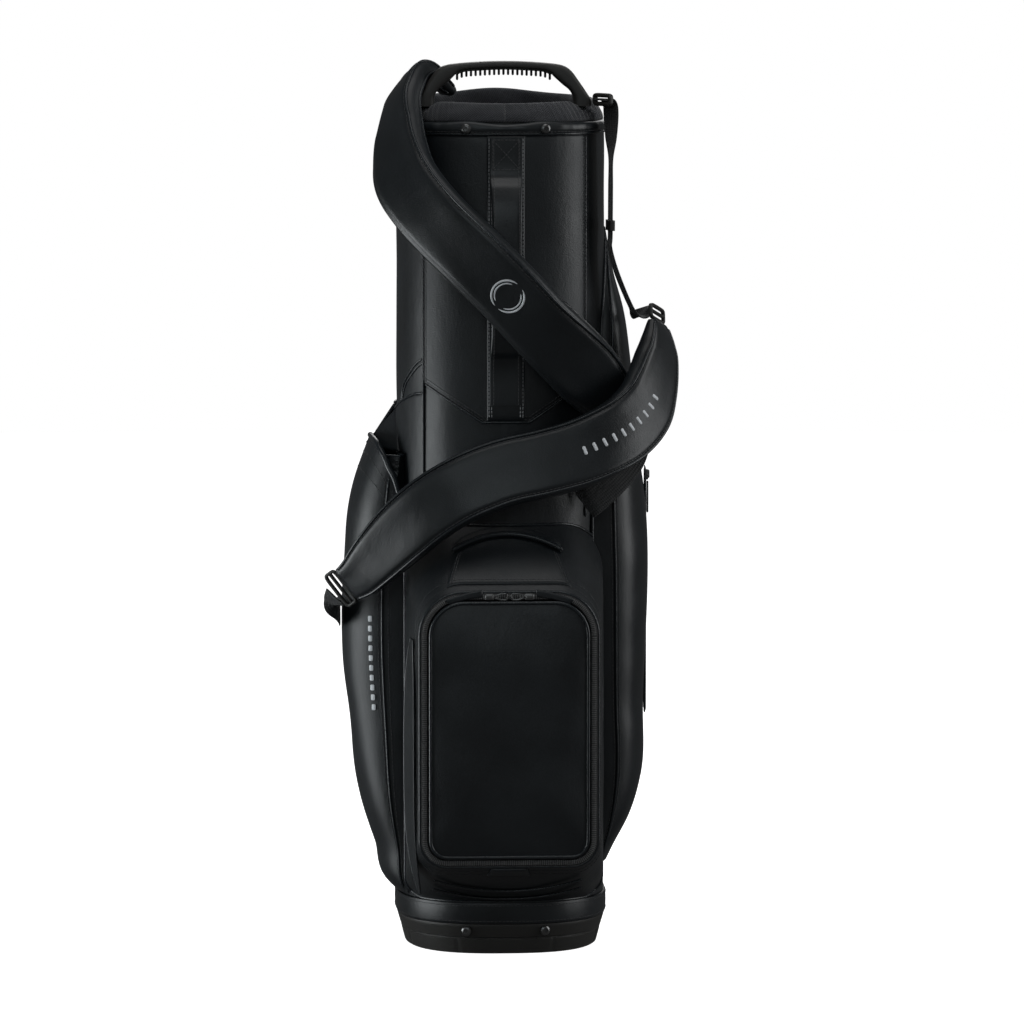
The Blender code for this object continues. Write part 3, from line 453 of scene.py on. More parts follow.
def shell_part(outer, inner, wrap_columns=False, cloth=None):
    """Two grids of the same size, sewn together round their edges."""
    rows, columns = outer.shape[:2]
    total = rows * columns
    face = quads(rows, columns, False, wrap_columns)
    index = np.arange(total).reshape(rows, columns)
    if wrap_columns:
        rims = [index[0], index[-1][::-1]]
    else:
        rims = [np.concatenate([index[0], index[1:, -1], index[-1, -2::-1], index[-2:0:-1, 0]])]
    faces = face.tolist() + (face[:, ::-1] + total).tolist()
    for rim in rims:
        following = np.roll(rim, -1)
        faces += np.stack([following, rim, rim + total, following + total], -1).tolist()
    flat = None if cloth is None else np.vstack([cloth.reshape(-1, 2)] * 2)
    return Part(np.vstack([outer.reshape(-1, 3), inner.reshape(-1, 3)]), faces, flat)


def place(name, parts, finish, body=BODY, stands_for=(), angle=40):
    """One object from parts, riding on a body of the frame and standing for its plain solids."""
    points = np.vstack([part.points for part in parts])
    cloth = np.vstack([part.cloth for part in parts])
    faces = []
    base = 0
    for part in parts:
        faces += [[index + base for index in face] for face in part.faces] if base else part.faces
        base += len(part.points)
    mesh = bpy.data.meshes.new(name)
    mesh.from_pydata(points.tolist(), [], faces)
    layer = mesh.attributes.new("cloth", "FLOAT_VECTOR", "POINT")
    layer.data.foreach_set("vector", np.hstack([cloth, np.zeros((len(cloth), 1))]).astype(np.float32).ravel())
    work = bmesh.new()
    work.from_mesh(mesh)
    bmesh.ops.remove_doubles(work, verts=work.verts[:], dist=1e-6)
    bmesh.ops.recalc_face_normals(work, faces=work.faces[:])
    work.to_mesh(mesh)
    work.free()
    mesh.shade_smooth()
    mesh.set_sharp_from_angle(angle=math.radians(angle))
    mesh.materials.append(finish_of(finish))
    obj = bpy.data.objects.new(name, mesh)
    bpy.context.scene.collection.objects.link(obj)
    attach(obj, body)
    if stands_for:
        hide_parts(*stands_for)
    return obj


def unit(vectors):
    return vectors / np.maximum(np.linalg.norm(vectors, axis=-1, keepdims=True), 1e-12)


def signed_power(value, exponent):
    return np.sign(value) * np.abs(value) ** exponent


def spline(stations, count):
    """Catmull-Rom curve through the stations, at evenly spaced parameters."""
    rows = np.array(stations, float)
    padded = np.vstack([2 * rows[0] - rows[1], rows, 2 * rows[-1] - rows[-2]])
    where = np.linspace(0, len(rows) - 1, count)
    first = np.minimum(where.astype(int), len(rows) - 2)
    t = (where - first)[:, None]
    a, b, c, d = padded[first], padded[first + 1], padded[first + 2], padded[first + 3]
    return 0.5 * (2 * b + (c - a) * t + (2 * a - 5 * b + 4 * c - d) * t**2 + (3 * b - a - 3 * c + d) * t**3)


def lengths(path):
    """Distance along a path to each of its points."""
    return np.concatenate([[0.0], np.cumsum(np.linalg.norm(np.diff(path, axis=0), axis=1))])


def evenly(path, pitch, *fields):
    """The path, and fields that go with it, at equal steps of about pitch, starting half a step in."""
    run = lengths(path)
    count = max(2, int(run[-1] / pitch))
    at = (np.arange(count) + 0.5) * run[-1] / count
    made = [np.stack([np.interp(at, run, field[:, k]) for k in range(3)], -1) for field in (path, *fields)]
    return made


def oval(inset, turn, z):
    """The body's outline: x and y are signed powers of sine and cosine; turn 0 is the front, +X next."""
    exponent = 2 / SQUARENESS
    x = (HALF_WIDTH - inset) * signed_power(np.sin(turn), exponent)
    y = -(HALF_DEPTH - inset) * signed_power(np.cos(turn), exponent)
    return np.stack(np.broadcast_arrays(x, y, z), -1)


def oval_outward(turn):
    """Outward direction of the body's outline, from the slopes of its equation."""
    x = signed_power(np.sin(turn), 2 - 2 / SQUARENESS) / HALF_WIDTH
    y = -signed_power(np.cos(turn), 2 - 2 / SQUARENESS) / HALF_DEPTH
    return unit(np.stack([x, y, np.zeros_like(x)], -1))


def front_y(x, inset=0.0):
    ratio = np.minimum(1.0, np.abs(x) / (HALF_WIDTH - inset))
    return -(HALF_DEPTH - inset) * (1 - ratio**SQUARENESS) ** (1 / SQUARENESS)


def side_x(y, inset=0.0):
    ratio = np.minimum(1.0, np.abs(y) / (HALF_DEPTH - inset))
    return (HALF_WIDTH - inset) * (1 - ratio**SQUARENESS) ** (1 / SQUARENESS)


def turns_round(count=240):
    """Turns whose steps along the outline are nearly equal: fine steps of turn, resampled by length."""
    fine = np.linspace(0, 2 * math.pi, 6000)
    run = lengths(oval(0.0, fine, 0.0))
    return np.interp(np.linspace(0, run[-1], count, endpoint=False), run, fine)


def turns_between(low, high, count):
    fine = np.linspace(math.radians(low), math.radians(high), 2000)
    run = lengths(oval(0.0, fine, 0.0))
    return np.interp(np.linspace(0, run[-1], count), run, fine)


def ripple(a, b, seed, waves=7):
    """Sum of sines in seeded directions and lengths, about -1 to 1; a and b are counted in wavelengths."""
    pick = np.random.default_rng(seed)
    total = 0.0
    for heading, stretch, phase in zip(
        pick.uniform(0, math.pi, waves), pick.uniform(0.6, 1.9, waves), pick.uniform(0, 6.28, waves)
    ):
        total = total + np.sin(2 * math.pi * stretch * (a * math.cos(heading) + b * math.sin(heading)) + phase)
    return total / math.sqrt(waves) / 1.4


def ring_part(profile, turns, push=None):
    """A closed profile of (inset, z) carried round the outline; push moves points in and up by arrays."""
    insets, heights = profile[:, :1], profile[:, 1:]
    grid = oval(insets, turns[None, :], heights + 0 * turns[None, :])
    if push is not None:
        grid = push(grid, np.broadcast_to(turns[None, :], grid.shape[:2]))
    round_it = lengths(oval(0.0, turns, 0.0))
    up = lengths(np.hstack([profile, np.zeros((len(profile), 1))]))
    cloth = np.stack(np.broadcast_arrays(round_it[None, :], up[:, None]), -1)
    rows, columns = grid.shape[:2]
    return Part(grid.reshape(-1, 3), quads(rows, columns, True, True).tolist(), cloth.reshape(-1, 2))


def superellipse(half_u, half_v, squareness, count):
    """Closed section: u and v are signed powers of cosine and sine."""
    angle = np.linspace(0, 2 * math.pi, count, endpoint=False)
    exponent = 2 / squareness
    return np.stack(
        [half_u * signed_power(np.cos(angle), exponent), half_v * signed_power(np.sin(angle), exponent)], -1
    )


def frames(path, up, closed=False):
    """Side and lift directions along a path: up made square to the path."""
    if closed:
        along = unit(np.roll(path, -1, 0) - np.roll(path, 1, 0))
    else:
        along = unit(np.gradient(path, axis=0))
    lift = unit(up - along * np.sum(up * along, -1, keepdims=True))
    return along, np.cross(along, lift), lift


def sweep_part(path, up, section, closed=False, scale=None):
    """A closed section carried along a path; scale is its size at each point, as one or two columns."""
    _, side, lift = frames(path, np.broadcast_to(up, path.shape), closed)
    size = np.ones((len(path), 2)) if scale is None else np.broadcast_to(scale, (len(path), 2))
    grid = path[:, None] + side[:, None] * section[None, :, :1] * size[:, None, :1]
    grid = grid + lift[:, None] * section[None, :, 1:] * size[:, None, 1:]
    run = lengths(path)
    cloth = np.stack(np.broadcast_arrays(section[None, :, 0] * size[:, :1], run[:, None]), -1)
    return tube_part(grid, closed, cloth)


def cord_part(path, radius, closed=False, up=(0.31, 0.12, 0.94), sides=10):
    """Round piping along a path, narrowed to nothing at open ends."""
    scale = np.ones((len(path), 1))
    if not closed:
        run = lengths(path)
        near = np.minimum(run, run[-1] - run) / (2 * radius)
        scale = np.sqrt(np.clip(1 - (1 - np.clip(near, 0, 1)) ** 2, 0.02, 1))[:, None]
    return sweep_part(path, np.array(up, float), superellipse(radius, radius, 2.0, sides), closed, scale)


def scatter(template, faces, origins, first, second, third):
    """Copies of a small shape, one at each origin, along three directions."""
    points = (
        origins[:, None] + first[:, None] * template[None, :, :1]
        + second[:, None] * template[None, :, 1:2] + third[:, None] * template[None, :, 2:3]
    )
    steps = (np.arange(len(origins)) * len(template))[:, None, None]
    return Part(points.reshape(-1, 3), (steps + faces[None]).reshape(-1, faces.shape[1]).tolist())


def bead(half_long, half_wide, half_high, sides=6):
    """A small rounded bar: four rings that swell and shrink along its length."""
    angle = np.linspace(0, 2 * math.pi, sides, endpoint=False)
    stations = ((-1.0, 0.60), (-0.80, 1.0), (0.80, 1.0), (1.0, 0.60))
    rings = [
        np.stack([np.full(sides, half_long * at), half_wide * size * np.cos(angle),
                  half_high * size * np.sin(angle)], -1)
        for at, size in stations
    ]
    faces = quads(len(stations), sides, False, True)
    half = sides // 2
    step = np.arange(half - 1)
    cap = np.stack([step, step + 1, sides - 2 - step, sides - 1 - step], -1)
    return np.vstack(rings), np.vstack([faces, cap, cap + (len(stations) - 1) * sides])


def stitch_part(path, up, pitch=0.0040, radius=0.00036, share=0.74):
    """A row of thread stitches that lie along a path."""
    up = np.broadcast_to(np.array(up, float), path.shape)
    along, _, lift = frames(path, up)
    spots, heading, lift = evenly(path, pitch, along, lift)
    heading = unit(heading)
    side = np.cross(heading, lift)
    template, faces = bead(pitch * share / 2, radius, radius * 0.75)
    return scatter(template, faces, spots, heading, side, lift)


def eased_ends(count):
    """Values from -1 to 1 that crowd towards both ends."""
    return np.sin(np.linspace(-math.pi / 2, math.pi / 2, count))


def inlay_part(base, outward, thick, rows_round=True, sink=0.0006, squareness=7.0):
    """A panel on a surface: full thickness in its middle, rounded down to the surface at its edges."""
    rows, columns = base.shape[:2]
    u = np.abs(eased_ends(columns))[None, :]
    v = np.abs(eased_ends(rows))[:, None] if rows_round else np.zeros((rows, 1))
    rise = np.clip(1 - u**squareness, 0, 1) ** 0.5 * np.clip(1 - v**squareness, 0, 1) ** 0.5
    return shell_part(base + outward * (thick * rise)[..., None], base - outward * sink)


def stretch(low, high, shape):
    """Values from low to high along shape, which runs from -1 to 1."""
    return low + (high - low) * (shape + 1) / 2


def flat_grid(first, second, third, fourth, rows, columns):
    """A four-cornered patch, crowded towards its edges; corners go round."""
    u = ((eased_ends(columns) + 1) / 2)[None, :, None]
    v = ((eased_ends(rows) + 1) / 2)[:, None, None]
    a, b, c, d = (np.array(p, float) for p in (first, second, third, fourth))
    return (a * (1 - u) + b * u) * (1 - v) + (d * (1 - u) + c * u) * v


def local(origin, across, along, outward, points):
    """Points given as across, along and outward distances, put in place."""
    points = np.asarray(points, float)
    return origin + points[..., :1] * across + points[..., 1:2] * along + points[..., 2:3] * outward


def rounded_box_part(origin, across, along, outward, size, squareness=5.0):
    """A box with soft edges: a square-ish section across and outward, shrunk towards both ends along."""
    half = np.array(size) / 2
    run = eased_ends(11)
    shrink = np.clip(1 - np.abs(run) ** 6, 0.0, 1) ** 0.5
    section = superellipse(1.0, 1.0, squareness, 24)
    inner = np.maximum(half[[0, 2]] - 0.0008, half[[0, 2]] * 0.6)
    size_here = inner[None] + (half[[0, 2]] - inner)[None] * shrink[:, None]
    flat = np.zeros((len(run), len(section), 3))
    flat[..., 0] = section[None, :, 0] * size_here[:, :1]
    flat[..., 1] = run[:, None] * half[1]
    flat[..., 2] = section[None, :, 1] * size_here[:, 1:]
    return tube_part(local(origin, across, along, outward, flat))


# Body


def open_tube_rows():
    """The tube's closed profile: down in the boot, up the outside, over the top and down the inside."""
    outside = [(0.0, z) for z in np.linspace(0.0545, TUBE_TOP, 90)]
    profile = [(0.0030, TUBE_FOOT), (0.0030, 0.0538)] + outside
    return np.array(profile + [(WALL, TUBE_TOP), (WALL, 0.0545), (0.0068, 0.0538), (0.0068, TUBE_FOOT)])


def push_body(grid, turns):
    """The leather lies a little unevenly: soft waves up to half a millimetre, none at either end."""
    z = grid[..., 2]
    fade = np.clip((z - 0.06) / 0.05, 0, 1) * np.clip((TUBE_TOP - z) / 0.03, 0, 1)
    wave = 0.00045 * ripple(turns * 1.3, z / 0.16, 4) * fade
    return grid + oval_outward(turns) * wave[..., None]


def make_body():
    place("tube_skin", [ring_part(open_tube_rows(), turns_round(288), push_body)], "leather", stands_for=["body_tube"])
    stations = [
        (-0.0012, BAND_LOW), (-0.0022, BAND_LOW + 0.0012), (-0.0027, 0.0430), (-0.0022, BAND_HIGH - 0.0012),
        (-0.0010, BAND_HIGH), (0.0028, BAND_HIGH),
    ]
    profile = np.vstack([spline(stations, 20), [(0.0028, BAND_LOW)]])
    place("foot_band", [ring_part(profile, turns_round())], "smooth_leather", stands_for=["base_band"])
    turns = np.append(turns_round(400), 2 * math.pi)
    rows = []
    for height, inset in ((0.0508, -0.0026), (0.0349, -0.0026)):
        rows.append(stitch_part(oval(inset, turns, height), (0.02, 0.01, 0.001) + oval_outward(turns)))
    place("foot_band_stitches", rows, "dark_thread")
    seams = []
    for degrees in (-132, 132):
        turn = math.radians(degrees)
        z = np.linspace(0.062, 0.832, 120)
        for shift in (-0.03, 0.03):
            path = oval(-0.0003, np.full_like(z, turn + shift), z)
            seams.append(stitch_part(path, oval_outward(np.array([turn]))[0]))
        seams.append(cord_part(oval(0.0002, np.full_like(z, turn), z), 0.0013))
    place("back_seams", seams, "piping")


def boot_profile():
    outer = [
        (0.0110, 0.0002), (0.0088, 0.0001), (0.0070, 0.0012), (0.0048, 0.0092), (0.0034, 0.0152),
        (0.0042, 0.0162), (0.0042, 0.0170), (0.0026, 0.0180), (-0.0004, 0.0280), (-0.0010, 0.0302),
        (-0.0008, 0.0314), (0.0002, BOOT_TOP),
    ]
    inner = [(0.0024, BOOT_TOP), (0.0024, 0.0197), (0.0080, 0.0193), (0.0115, 0.0046), (0.0400, 0.0045)]
    return np.array([(0.0400, 0.0)] + outer + inner)


def make_boot():
    profile = boot_profile()
    turns = turns_round(288)
    grid = oval(profile[:, :1], turns[None, :], profile[:, 1:] + 0 * turns[None, :])
    notch = np.abs((np.degrees(turns) + 180) % 45 - 22.5) < 1.0
    lower = (profile[:, 1] > 0.002) & (profile[:, 1] < 0.0155) & (profile[:, 0] < 0.008)
    grid = grid - oval_outward(turns)[None] * (lower[:, None] & notch[None, :])[..., None] * 0.0012
    place("boot_shell", [tube_part(grid)], "plastic", stands_for=["base_boot"], angle=28)
    pad = [(0.0600, 0.0048), (0.0150, 0.0048), (0.0131, 0.0065), (0.0140, 0.0098), (0.0190, 0.0108), (0.0600, 0.0110)]
    pad = spline(pad, 24)
    grid = oval(pad[:, :1], turns[None, :], pad[:, 1:] + 0 * turns[None, :])
    place("floor_cushion", [tube_part(grid)], "velour", stands_for=["floor_pad"])


def screw_parts(seat, outward):
    """A domed button head with a six-sided socket, and its shank: one turned profile of radius and height."""
    profile = np.array([
        (0.0017, -0.0076), (0.0017, 0.0003), (0.0050, 0.0003), (0.0051, 0.0009), (0.0047, 0.0020),
        (0.0037, 0.0028), (0.0026, 0.0031), (0.0022, 0.0031), (0.0021, 0.0014), (0.0006, 0.0013),
    ])
    across = unit(np.cross(outward, (0, 0, 1)))
    up = np.cross(across, outward)
    turn = np.linspace(0, 2 * math.pi, 36, endpoint=False)
    socket = 1 / np.cos((turn + math.pi / 6) % (math.pi / 3) - math.pi / 6)
    stretch_socket = np.ones((len(profile), len(turn)))
    stretch_socket[-3:-1] = socket * 0.9
    radius = profile[:, :1] * stretch_socket
    grid = seat + across * (radius * np.cos(turn))[..., None] + up * (radius * np.sin(turn))[..., None]
    return tube_part(grid + outward * profile[:, 1][:, None, None])


def make_screws(label, height, inset):
    for number, (x, back) in enumerate(((-0.040, 1), (0.040, 1), (-0.040, -1), (0.040, -1)), 1):
        y = front_y(np.array([x]), inset)[0]
        slope = np.array([
            math.copysign((abs(x) / (HALF_WIDTH - inset)) ** (SQUARENESS - 1) / HALF_WIDTH, x),
            -((abs(y) / (HALF_DEPTH - inset)) ** (SQUARENESS - 1)) / HALF_DEPTH, 0.0,
        ])
        flip = np.array([1, back, 1])
        node = f"{label}_screw_{number}"
        place(f"{label}_button_{number}", [screw_parts(np.array([x, y, height]) * flip, unit(slope) * flip)],
              "dark_metal", stands_for=[node], angle=30)


# Top


def make_binding():
    low, high = TUBE_TOP + 0.0002, 0.8473
    stations = [
        (0.0036, low), (-0.0002, low), (-0.0022, low + 0.0012), (-0.0040, low + 0.0050), (-0.0036, high - 0.0030),
        (-0.0012, high - 0.0003), (0.0036, high),
    ]

    def push(grid, turns):
        """The roll rises over each screw and dips in the middle of the front, with fine gathers."""
        x = grid[..., 0]
        upper = np.clip((grid[..., 2] - 0.8395) / 0.006, 0, 1)
        lift = 0.0016 * np.exp(-((np.abs(x) - 0.040) / 0.016) ** 2) - 0.0014 * np.exp(-((x / 0.020) ** 2))
        gather = 0.00035 * ripple(turns * 9, grid[..., 2] / 0.05, 8)
        moved = grid + oval_outward(turns) * gather[..., None]
        moved[..., 2] += lift * upper
        return moved

    place("top_roll", [ring_part(spline(stations, 26), turns_round(360), push)], "smooth_leather",
          stands_for=["top_binding"])
    turns = np.append(turns_round(420), 2 * math.pi)
    place("top_roll_stitches", [stitch_part(oval(-0.0034, turns, 0.8378), oval_outward(turns))], "dark_thread")
    place("top_roll_piping", [cord_part(oval(-0.0022, turns[:-1], 0.8357), 0.0012, closed=True)], "piping")


def make_cuff():
    stations = [
        (0.0170, 0.8566), (0.0180, 0.8562), (0.0187, 0.8580), (0.0188, 0.8640), (0.0172, 0.8672),
        (0.0140, 0.8682), (0.0104, 0.8668), (0.0066, 0.8622), (0.0030, 0.8560), (0.0010, 0.8500),
        (0.0014, 0.8478), (0.0034, 0.8478),
    ]
    inside = [(0.0080, 0.8545), (0.0126, COLLAR_TOP + 0.0003), (0.0168, COLLAR_TOP + 0.0003)]
    profile = np.vstack([spline(stations, 44), inside])

    def push(grid, turns):
        """The rim stands higher at the back and dips at the front; cloth bunches beside each handle foot."""
        x, y, z = grid[..., 0], grid[..., 1], grid[..., 2]
        upper = np.clip((z - 0.856) / 0.010, 0, 1)
        back = 0.0060 * np.exp(-((x / 0.045) ** 2)) * (y > 0)
        front = -0.0020 * np.exp(-((x / 0.060) ** 2)) * (y < 0)
        near_foot = np.exp(-((y - HANDLE_Y) / 0.028) ** 2)
        sink = -0.0068 * np.exp(-((y - HANDLE_Y) / 0.0125) ** 6) * (z > 0.8595)
        outer = np.clip((z - 0.8476) / 0.004, 0, 1)
        bunch = 0.0010 * np.sin(turns * 95 + 260 * z) * near_foot * outer
        slack = 0.00055 * ripple(turns * 3.2, z / 0.03, 21) * outer
        centre = 0.0008 * np.exp(-((x / 0.0016) ** 2)) * (y < 0) * outer
        moved = grid + oval_outward(turns) * (bunch + slack - centre)[..., None]
        moved[..., 2] += (back + front) * upper + sink
        return moved

    place("cuff_cloth", [ring_part(profile, turns_round(480), push)], "twill", stands_for=["top_cuff"])
    turns = turns_between(-24, 24, 120)
    hem = []
    for inset, height in ((0.0090, 0.8643), (0.0112, 0.8657)):
        path = oval(inset, turns, height)
        path[:, 2] -= 0.0020 * np.exp(-((path[:, 0] / 0.060) ** 2))
        hem.append(stitch_part(path, oval_outward(turns) + np.array([0, 0, 1.2]), 0.0030, 0.0003))
    place("cuff_hem_stitches", hem, "dark_thread")


def curtain_part(first, second, seed, thick=0.0011):
    """A hanging sheet between two upright edges; it bellies by up to a millimetre between them."""
    u = np.linspace(0, 1, 34)
    z = np.linspace(CURTAIN_LOW, CURTAIN_HIGH, 90)
    across = unit(np.array([second[0] - first[0], second[1] - first[1], 0.0]))
    square = np.array([-across[1], across[0], 0.0])
    flat = np.array(first)[None, None] * (1 - u)[None, :, None] + np.array(second)[None, None] * u[None, :, None]
    grid = np.concatenate([np.broadcast_to(flat, (len(z), len(u), 2)), np.broadcast_to(z[:, None, None], (len(z), len(u), 1))], -1)
    slack = 0.0010 * ripple(u[None, :] * 0.8, z[:, None] / 0.5, seed) * np.sin(math.pi * u)[None, :]
    grid = grid + square * slack[..., None]
    return shell_part(grid + square * thick / 2, grid - square * thick / 2)


def make_divider():
    for node, finish in (("divider_frame", "plastic"), ("collar_ring", "plastic"),
                         ("stay_left", "plastic"), ("stay_right", "plastic")):
        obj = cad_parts[node]
        obj.data.materials.clear()
        obj.data.materials.append(finish_of(finish))
    middle = place("curtain_middle", [curtain_part((0.0, -CURTAIN_HALF_Y), (0.0, CURTAIN_HALF_Y), 3)], "velour",
                   stands_for=["divider_curtains"])
    for number, (side, y) in enumerate(((-1, -CROSS_BAR_Y), (1, -CROSS_BAR_Y), (-1, CROSS_BAR_Y), (1, CROSS_BAR_Y))):
        start, end = side * 0.0012, side * CURTAIN_HALF_X
        piece = place(f"curtain_cross_{number + 1}", [curtain_part((start, y), (end, y), 30 + number)], "velour")
    sleeves = []
    for path in (
        [(0, -0.094, 0.8556), (0, 0.094, 0.8556)], [(-0.083, -CROSS_BAR_Y, 0.8556), (0.083, -CROSS_BAR_Y, 0.8556)],
        [(-0.083, CROSS_BAR_Y, 0.8556), (0.083, CROSS_BAR_Y, 0.8556)],
    ):
        line = np.linspace(path[0], path[1], 60)
        sleeves.append(sweep_part(line, np.array([0, 0, 1.0]), superellipse(0.0040, 0.0030, 2.6, 18)))
    place("divider_sleeves", sleeves, "velour")


def handle_edges():
    """Outer and inner edges of the moulded handle in X and Z, from the right foot to the left."""
    foot = COLLAR_TOP + 0.0003
    outer = [(0.0890, foot), (0.0890, 0.8680), (0.0845, 0.8755), (0.0760, 0.8880), (0.0680, 0.8985), (0.0590, 0.9036),
             (0.0440, 0.9058), (0.0220, 0.9073), (0.0, 0.9078)]
    inner = [(0.0704, foot), (0.0704, 0.8690), (0.0694, 0.8740), (0.0660, 0.8790), (0.0600, 0.8838), (0.0535, 0.8896),
             (0.0430, 0.8978), (0.0220, 0.9000), (0.0, 0.9008)]
    sides = []
    for edge in (outer, inner):
        full = edge + [(-x, z) for x, z in reversed(edge[:-1])]
        sides.append(spline(full, 150))
    return sides


def make_handle():
    outer, inner = handle_edges()
    middle, half = (outer + inner) / 2, (outer - inner) / 2
    section = superellipse(1.0, HANDLE_DEPTH / 2, 3.6, 36)
    pinch = 1 + 0.10 * np.exp(-((np.abs(middle[:, 0]) - 0.086) / 0.012) ** 2)
    grid = np.zeros((len(middle), len(section), 3))
    grid[..., 0] = middle[:, :1] + half[:, :1] * section[None, :, 0]
    grid[..., 1] = HANDLE_Y + section[None, :, 1] * np.minimum(pinch, 1.06)[:, None]
    grid[..., 2] = middle[:, 1:] + half[:, 1:] * section[None, :, 0]
    place("handle_moulding", [tube_part(grid)], "plastic", stands_for=["top_handle"])
    teeth = []
    x = (np.arange(21) - 10) * 0.0047
    under = np.interp(np.abs(x), -inner[75:, 0], inner[75:, 1])
    origins = np.stack([x, np.full_like(x, HANDLE_Y), under - 0.0031], -1)
    down = np.broadcast_to([0.0, 0.0, 1.0], origins.shape)
    wide = np.broadcast_to([0.0, 1.0, 0.0], origins.shape)
    thin = np.broadcast_to([1.0, 0.0, 0.0], origins.shape)
    template, faces = bead(0.0040, 0.0066, 0.00125, 8)
    teeth.append(scatter(template, faces, origins, down, wide, thin))
    rail = np.stack([np.linspace(x[0] - 0.0012, x[-1] + 0.0012, 60)] * 3, -1)
    rail[:, 1] = HANDLE_Y
    rail[:, 2] = np.interp(np.abs(rail[:, 0]), -inner[75:, 0], inner[75:, 1]) - 0.0004
    teeth.append(sweep_part(rail, np.array([0, 0, 1.0]), superellipse(0.0062, 0.0014, 4.0, 20)))
    place("comb_teeth", teeth, "rubber", stands_for=["handle_comb"])


# Front


def panel_foot(x):
    """Level in the middle, rising to the seams at both sides."""
    return 0.5445 + np.maximum(0.0, np.abs(x) - 0.024) * 0.66


def make_front():
    turns = math.radians(45) * eased_ends(90)
    share = (eased_ends(60) + 1) / 2
    foot = panel_foot(oval(0.0, turns, 0.0)[:, 0])
    z = foot[None, :] + (PANEL_TOP - foot)[None, :] * share[:, None]
    base = oval(-0.0002, turns[None, :], z)
    outward = np.broadcast_to(oval_outward(turns)[None], base.shape)
    place("front_cover", [inlay_part(base, outward, PANEL_THICK, squareness=40)], "leather",
          stands_for=["front_panel"])
    lines = []
    for x_share in (0.945, 0.985):
        for side in (-1, 1):
            turn = side * math.radians(45) * x_share
            line_z = np.linspace(float(panel_foot(oval(0, turn, 0)[0])) + 0.004, 0.832, 90)
            path = oval(-0.0022, np.full_like(line_z, turn), line_z)
            lines.append(stitch_part(path, oval_outward(np.array([turn]))[0]))
    sweep_turns = turns_between(-44, 44, 160)
    edge = oval(-0.0022, sweep_turns, 0.0)
    for rise in (0.0026, 0.0060):
        path = edge.copy()
        path[:, 2] = panel_foot(path[:, 0]) + rise
        lines.append(stitch_part(path, oval_outward(sweep_turns)))
    place("front_cover_stitches", lines, "dark_thread")
    path = oval(-0.0011, sweep_turns, 0.0)
    path[:, 2] = panel_foot(path[:, 0])
    cords = [cord_part(path, 0.0014)]
    for side in (-1, 1):
        line_z = np.linspace(0.4450, 0.8335, 150)
        turn = np.full_like(line_z, side * math.radians(45.3))
        cords.append(cord_part(oval(-0.0010, turn, line_z), 0.0013))
    place("front_cover_piping", cords, "piping")
    x = STRIP_HALF * eased_ends(30)
    z = stretch(STRIP_LOW, STRIP_HIGH, eased_ends(90))
    base = np.stack(np.broadcast_arrays(x[None, :], front_y(x)[None, :] - 0.0020, z[:, None]), -1)
    outward = np.broadcast_to([0.0, -1.0, 0.0], base.shape)
    place("centre_strip", [inlay_part(base, outward, 0.0021, squareness=26)], "smooth_leather",
          stands_for=["front_strip"])
    rows = []
    for offset in (0.0022, 0.0048):
        for side in (-1, 1):
            z = np.linspace(STRIP_LOW + 0.003, STRIP_HIGH - 0.002, 80)
            at = side * (STRIP_HALF - offset)
            y = front_y(np.array([at]))[0] - 0.0041
            path = np.stack([np.full_like(z, at), np.full_like(z, y), z], -1)
            rows.append(stitch_part(path, (0, -1, 0), 0.0038, 0.00046))
    place("centre_strip_stitches", rows, "light_thread")
    make_carry_handle()
    make_shoulder()


def make_shoulder():
    """The side panel that rises from the bottle well: its top edge falls from the seam to the side."""
    top = np.array([(-97.0, 0.5450), (-90.0, 0.5500), (-80.0, 0.5560), (-66.0, 0.5640), (-54.0, 0.5705), (-44.5, 0.5730)])
    foot = np.array([(-97.0, 0.5085), (-61.5, 0.5085), (-60.0, 0.4550), (-44.5, 0.4450)])
    degrees = -70.75 + 26.25 * eased_ends(70)
    share = ((eased_ends(50) + 1) / 2)[:, None]
    high, low = np.interp(degrees, *top.T), np.interp(degrees, *foot.T)
    turns = np.radians(degrees)[None, :]
    base = oval(-0.0002, turns, low[None, :] + (high - low)[None, :] * share)
    outward = np.broadcast_to(oval_outward(turns), base.shape)
    place("shoulder_panel", [inlay_part(base, outward, 0.0014, squareness=40)], "leather")
    edge = oval(-0.0016, np.radians(degrees), high)
    arch = spline([(-46.5, 0.6070), (-52, 0.6025), (-59, 0.5935), (-66, 0.5835), (-71, 0.5725), (-73, 0.5620), (-73.5, 0.5570)], 90)
    cords = [cord_part(edge, 0.0013)]
    for inset in (0.0, 0.0034):
        cords.append(cord_part(oval(-0.0004, np.radians(arch[:, 0] + inset * 400), arch[:, 1] - inset), 0.0011))
    place("shoulder_piping", cords, "piping")
    wing = flat_grid((-0.1050, -0.0420, 0.5085), (-0.1362, 0.0080, 0.5100), (-0.1368, 0.0125, 0.5135),
                     (-0.1068, -0.0060, 0.5500), 24, 30)
    facing = np.broadcast_to(unit(np.array([-0.80, -0.60, 0.15])), wing.shape)
    place("shoulder_wing", [inlay_part(wing, facing, 0.0016, sink=0.0010, squareness=26)], "leather")


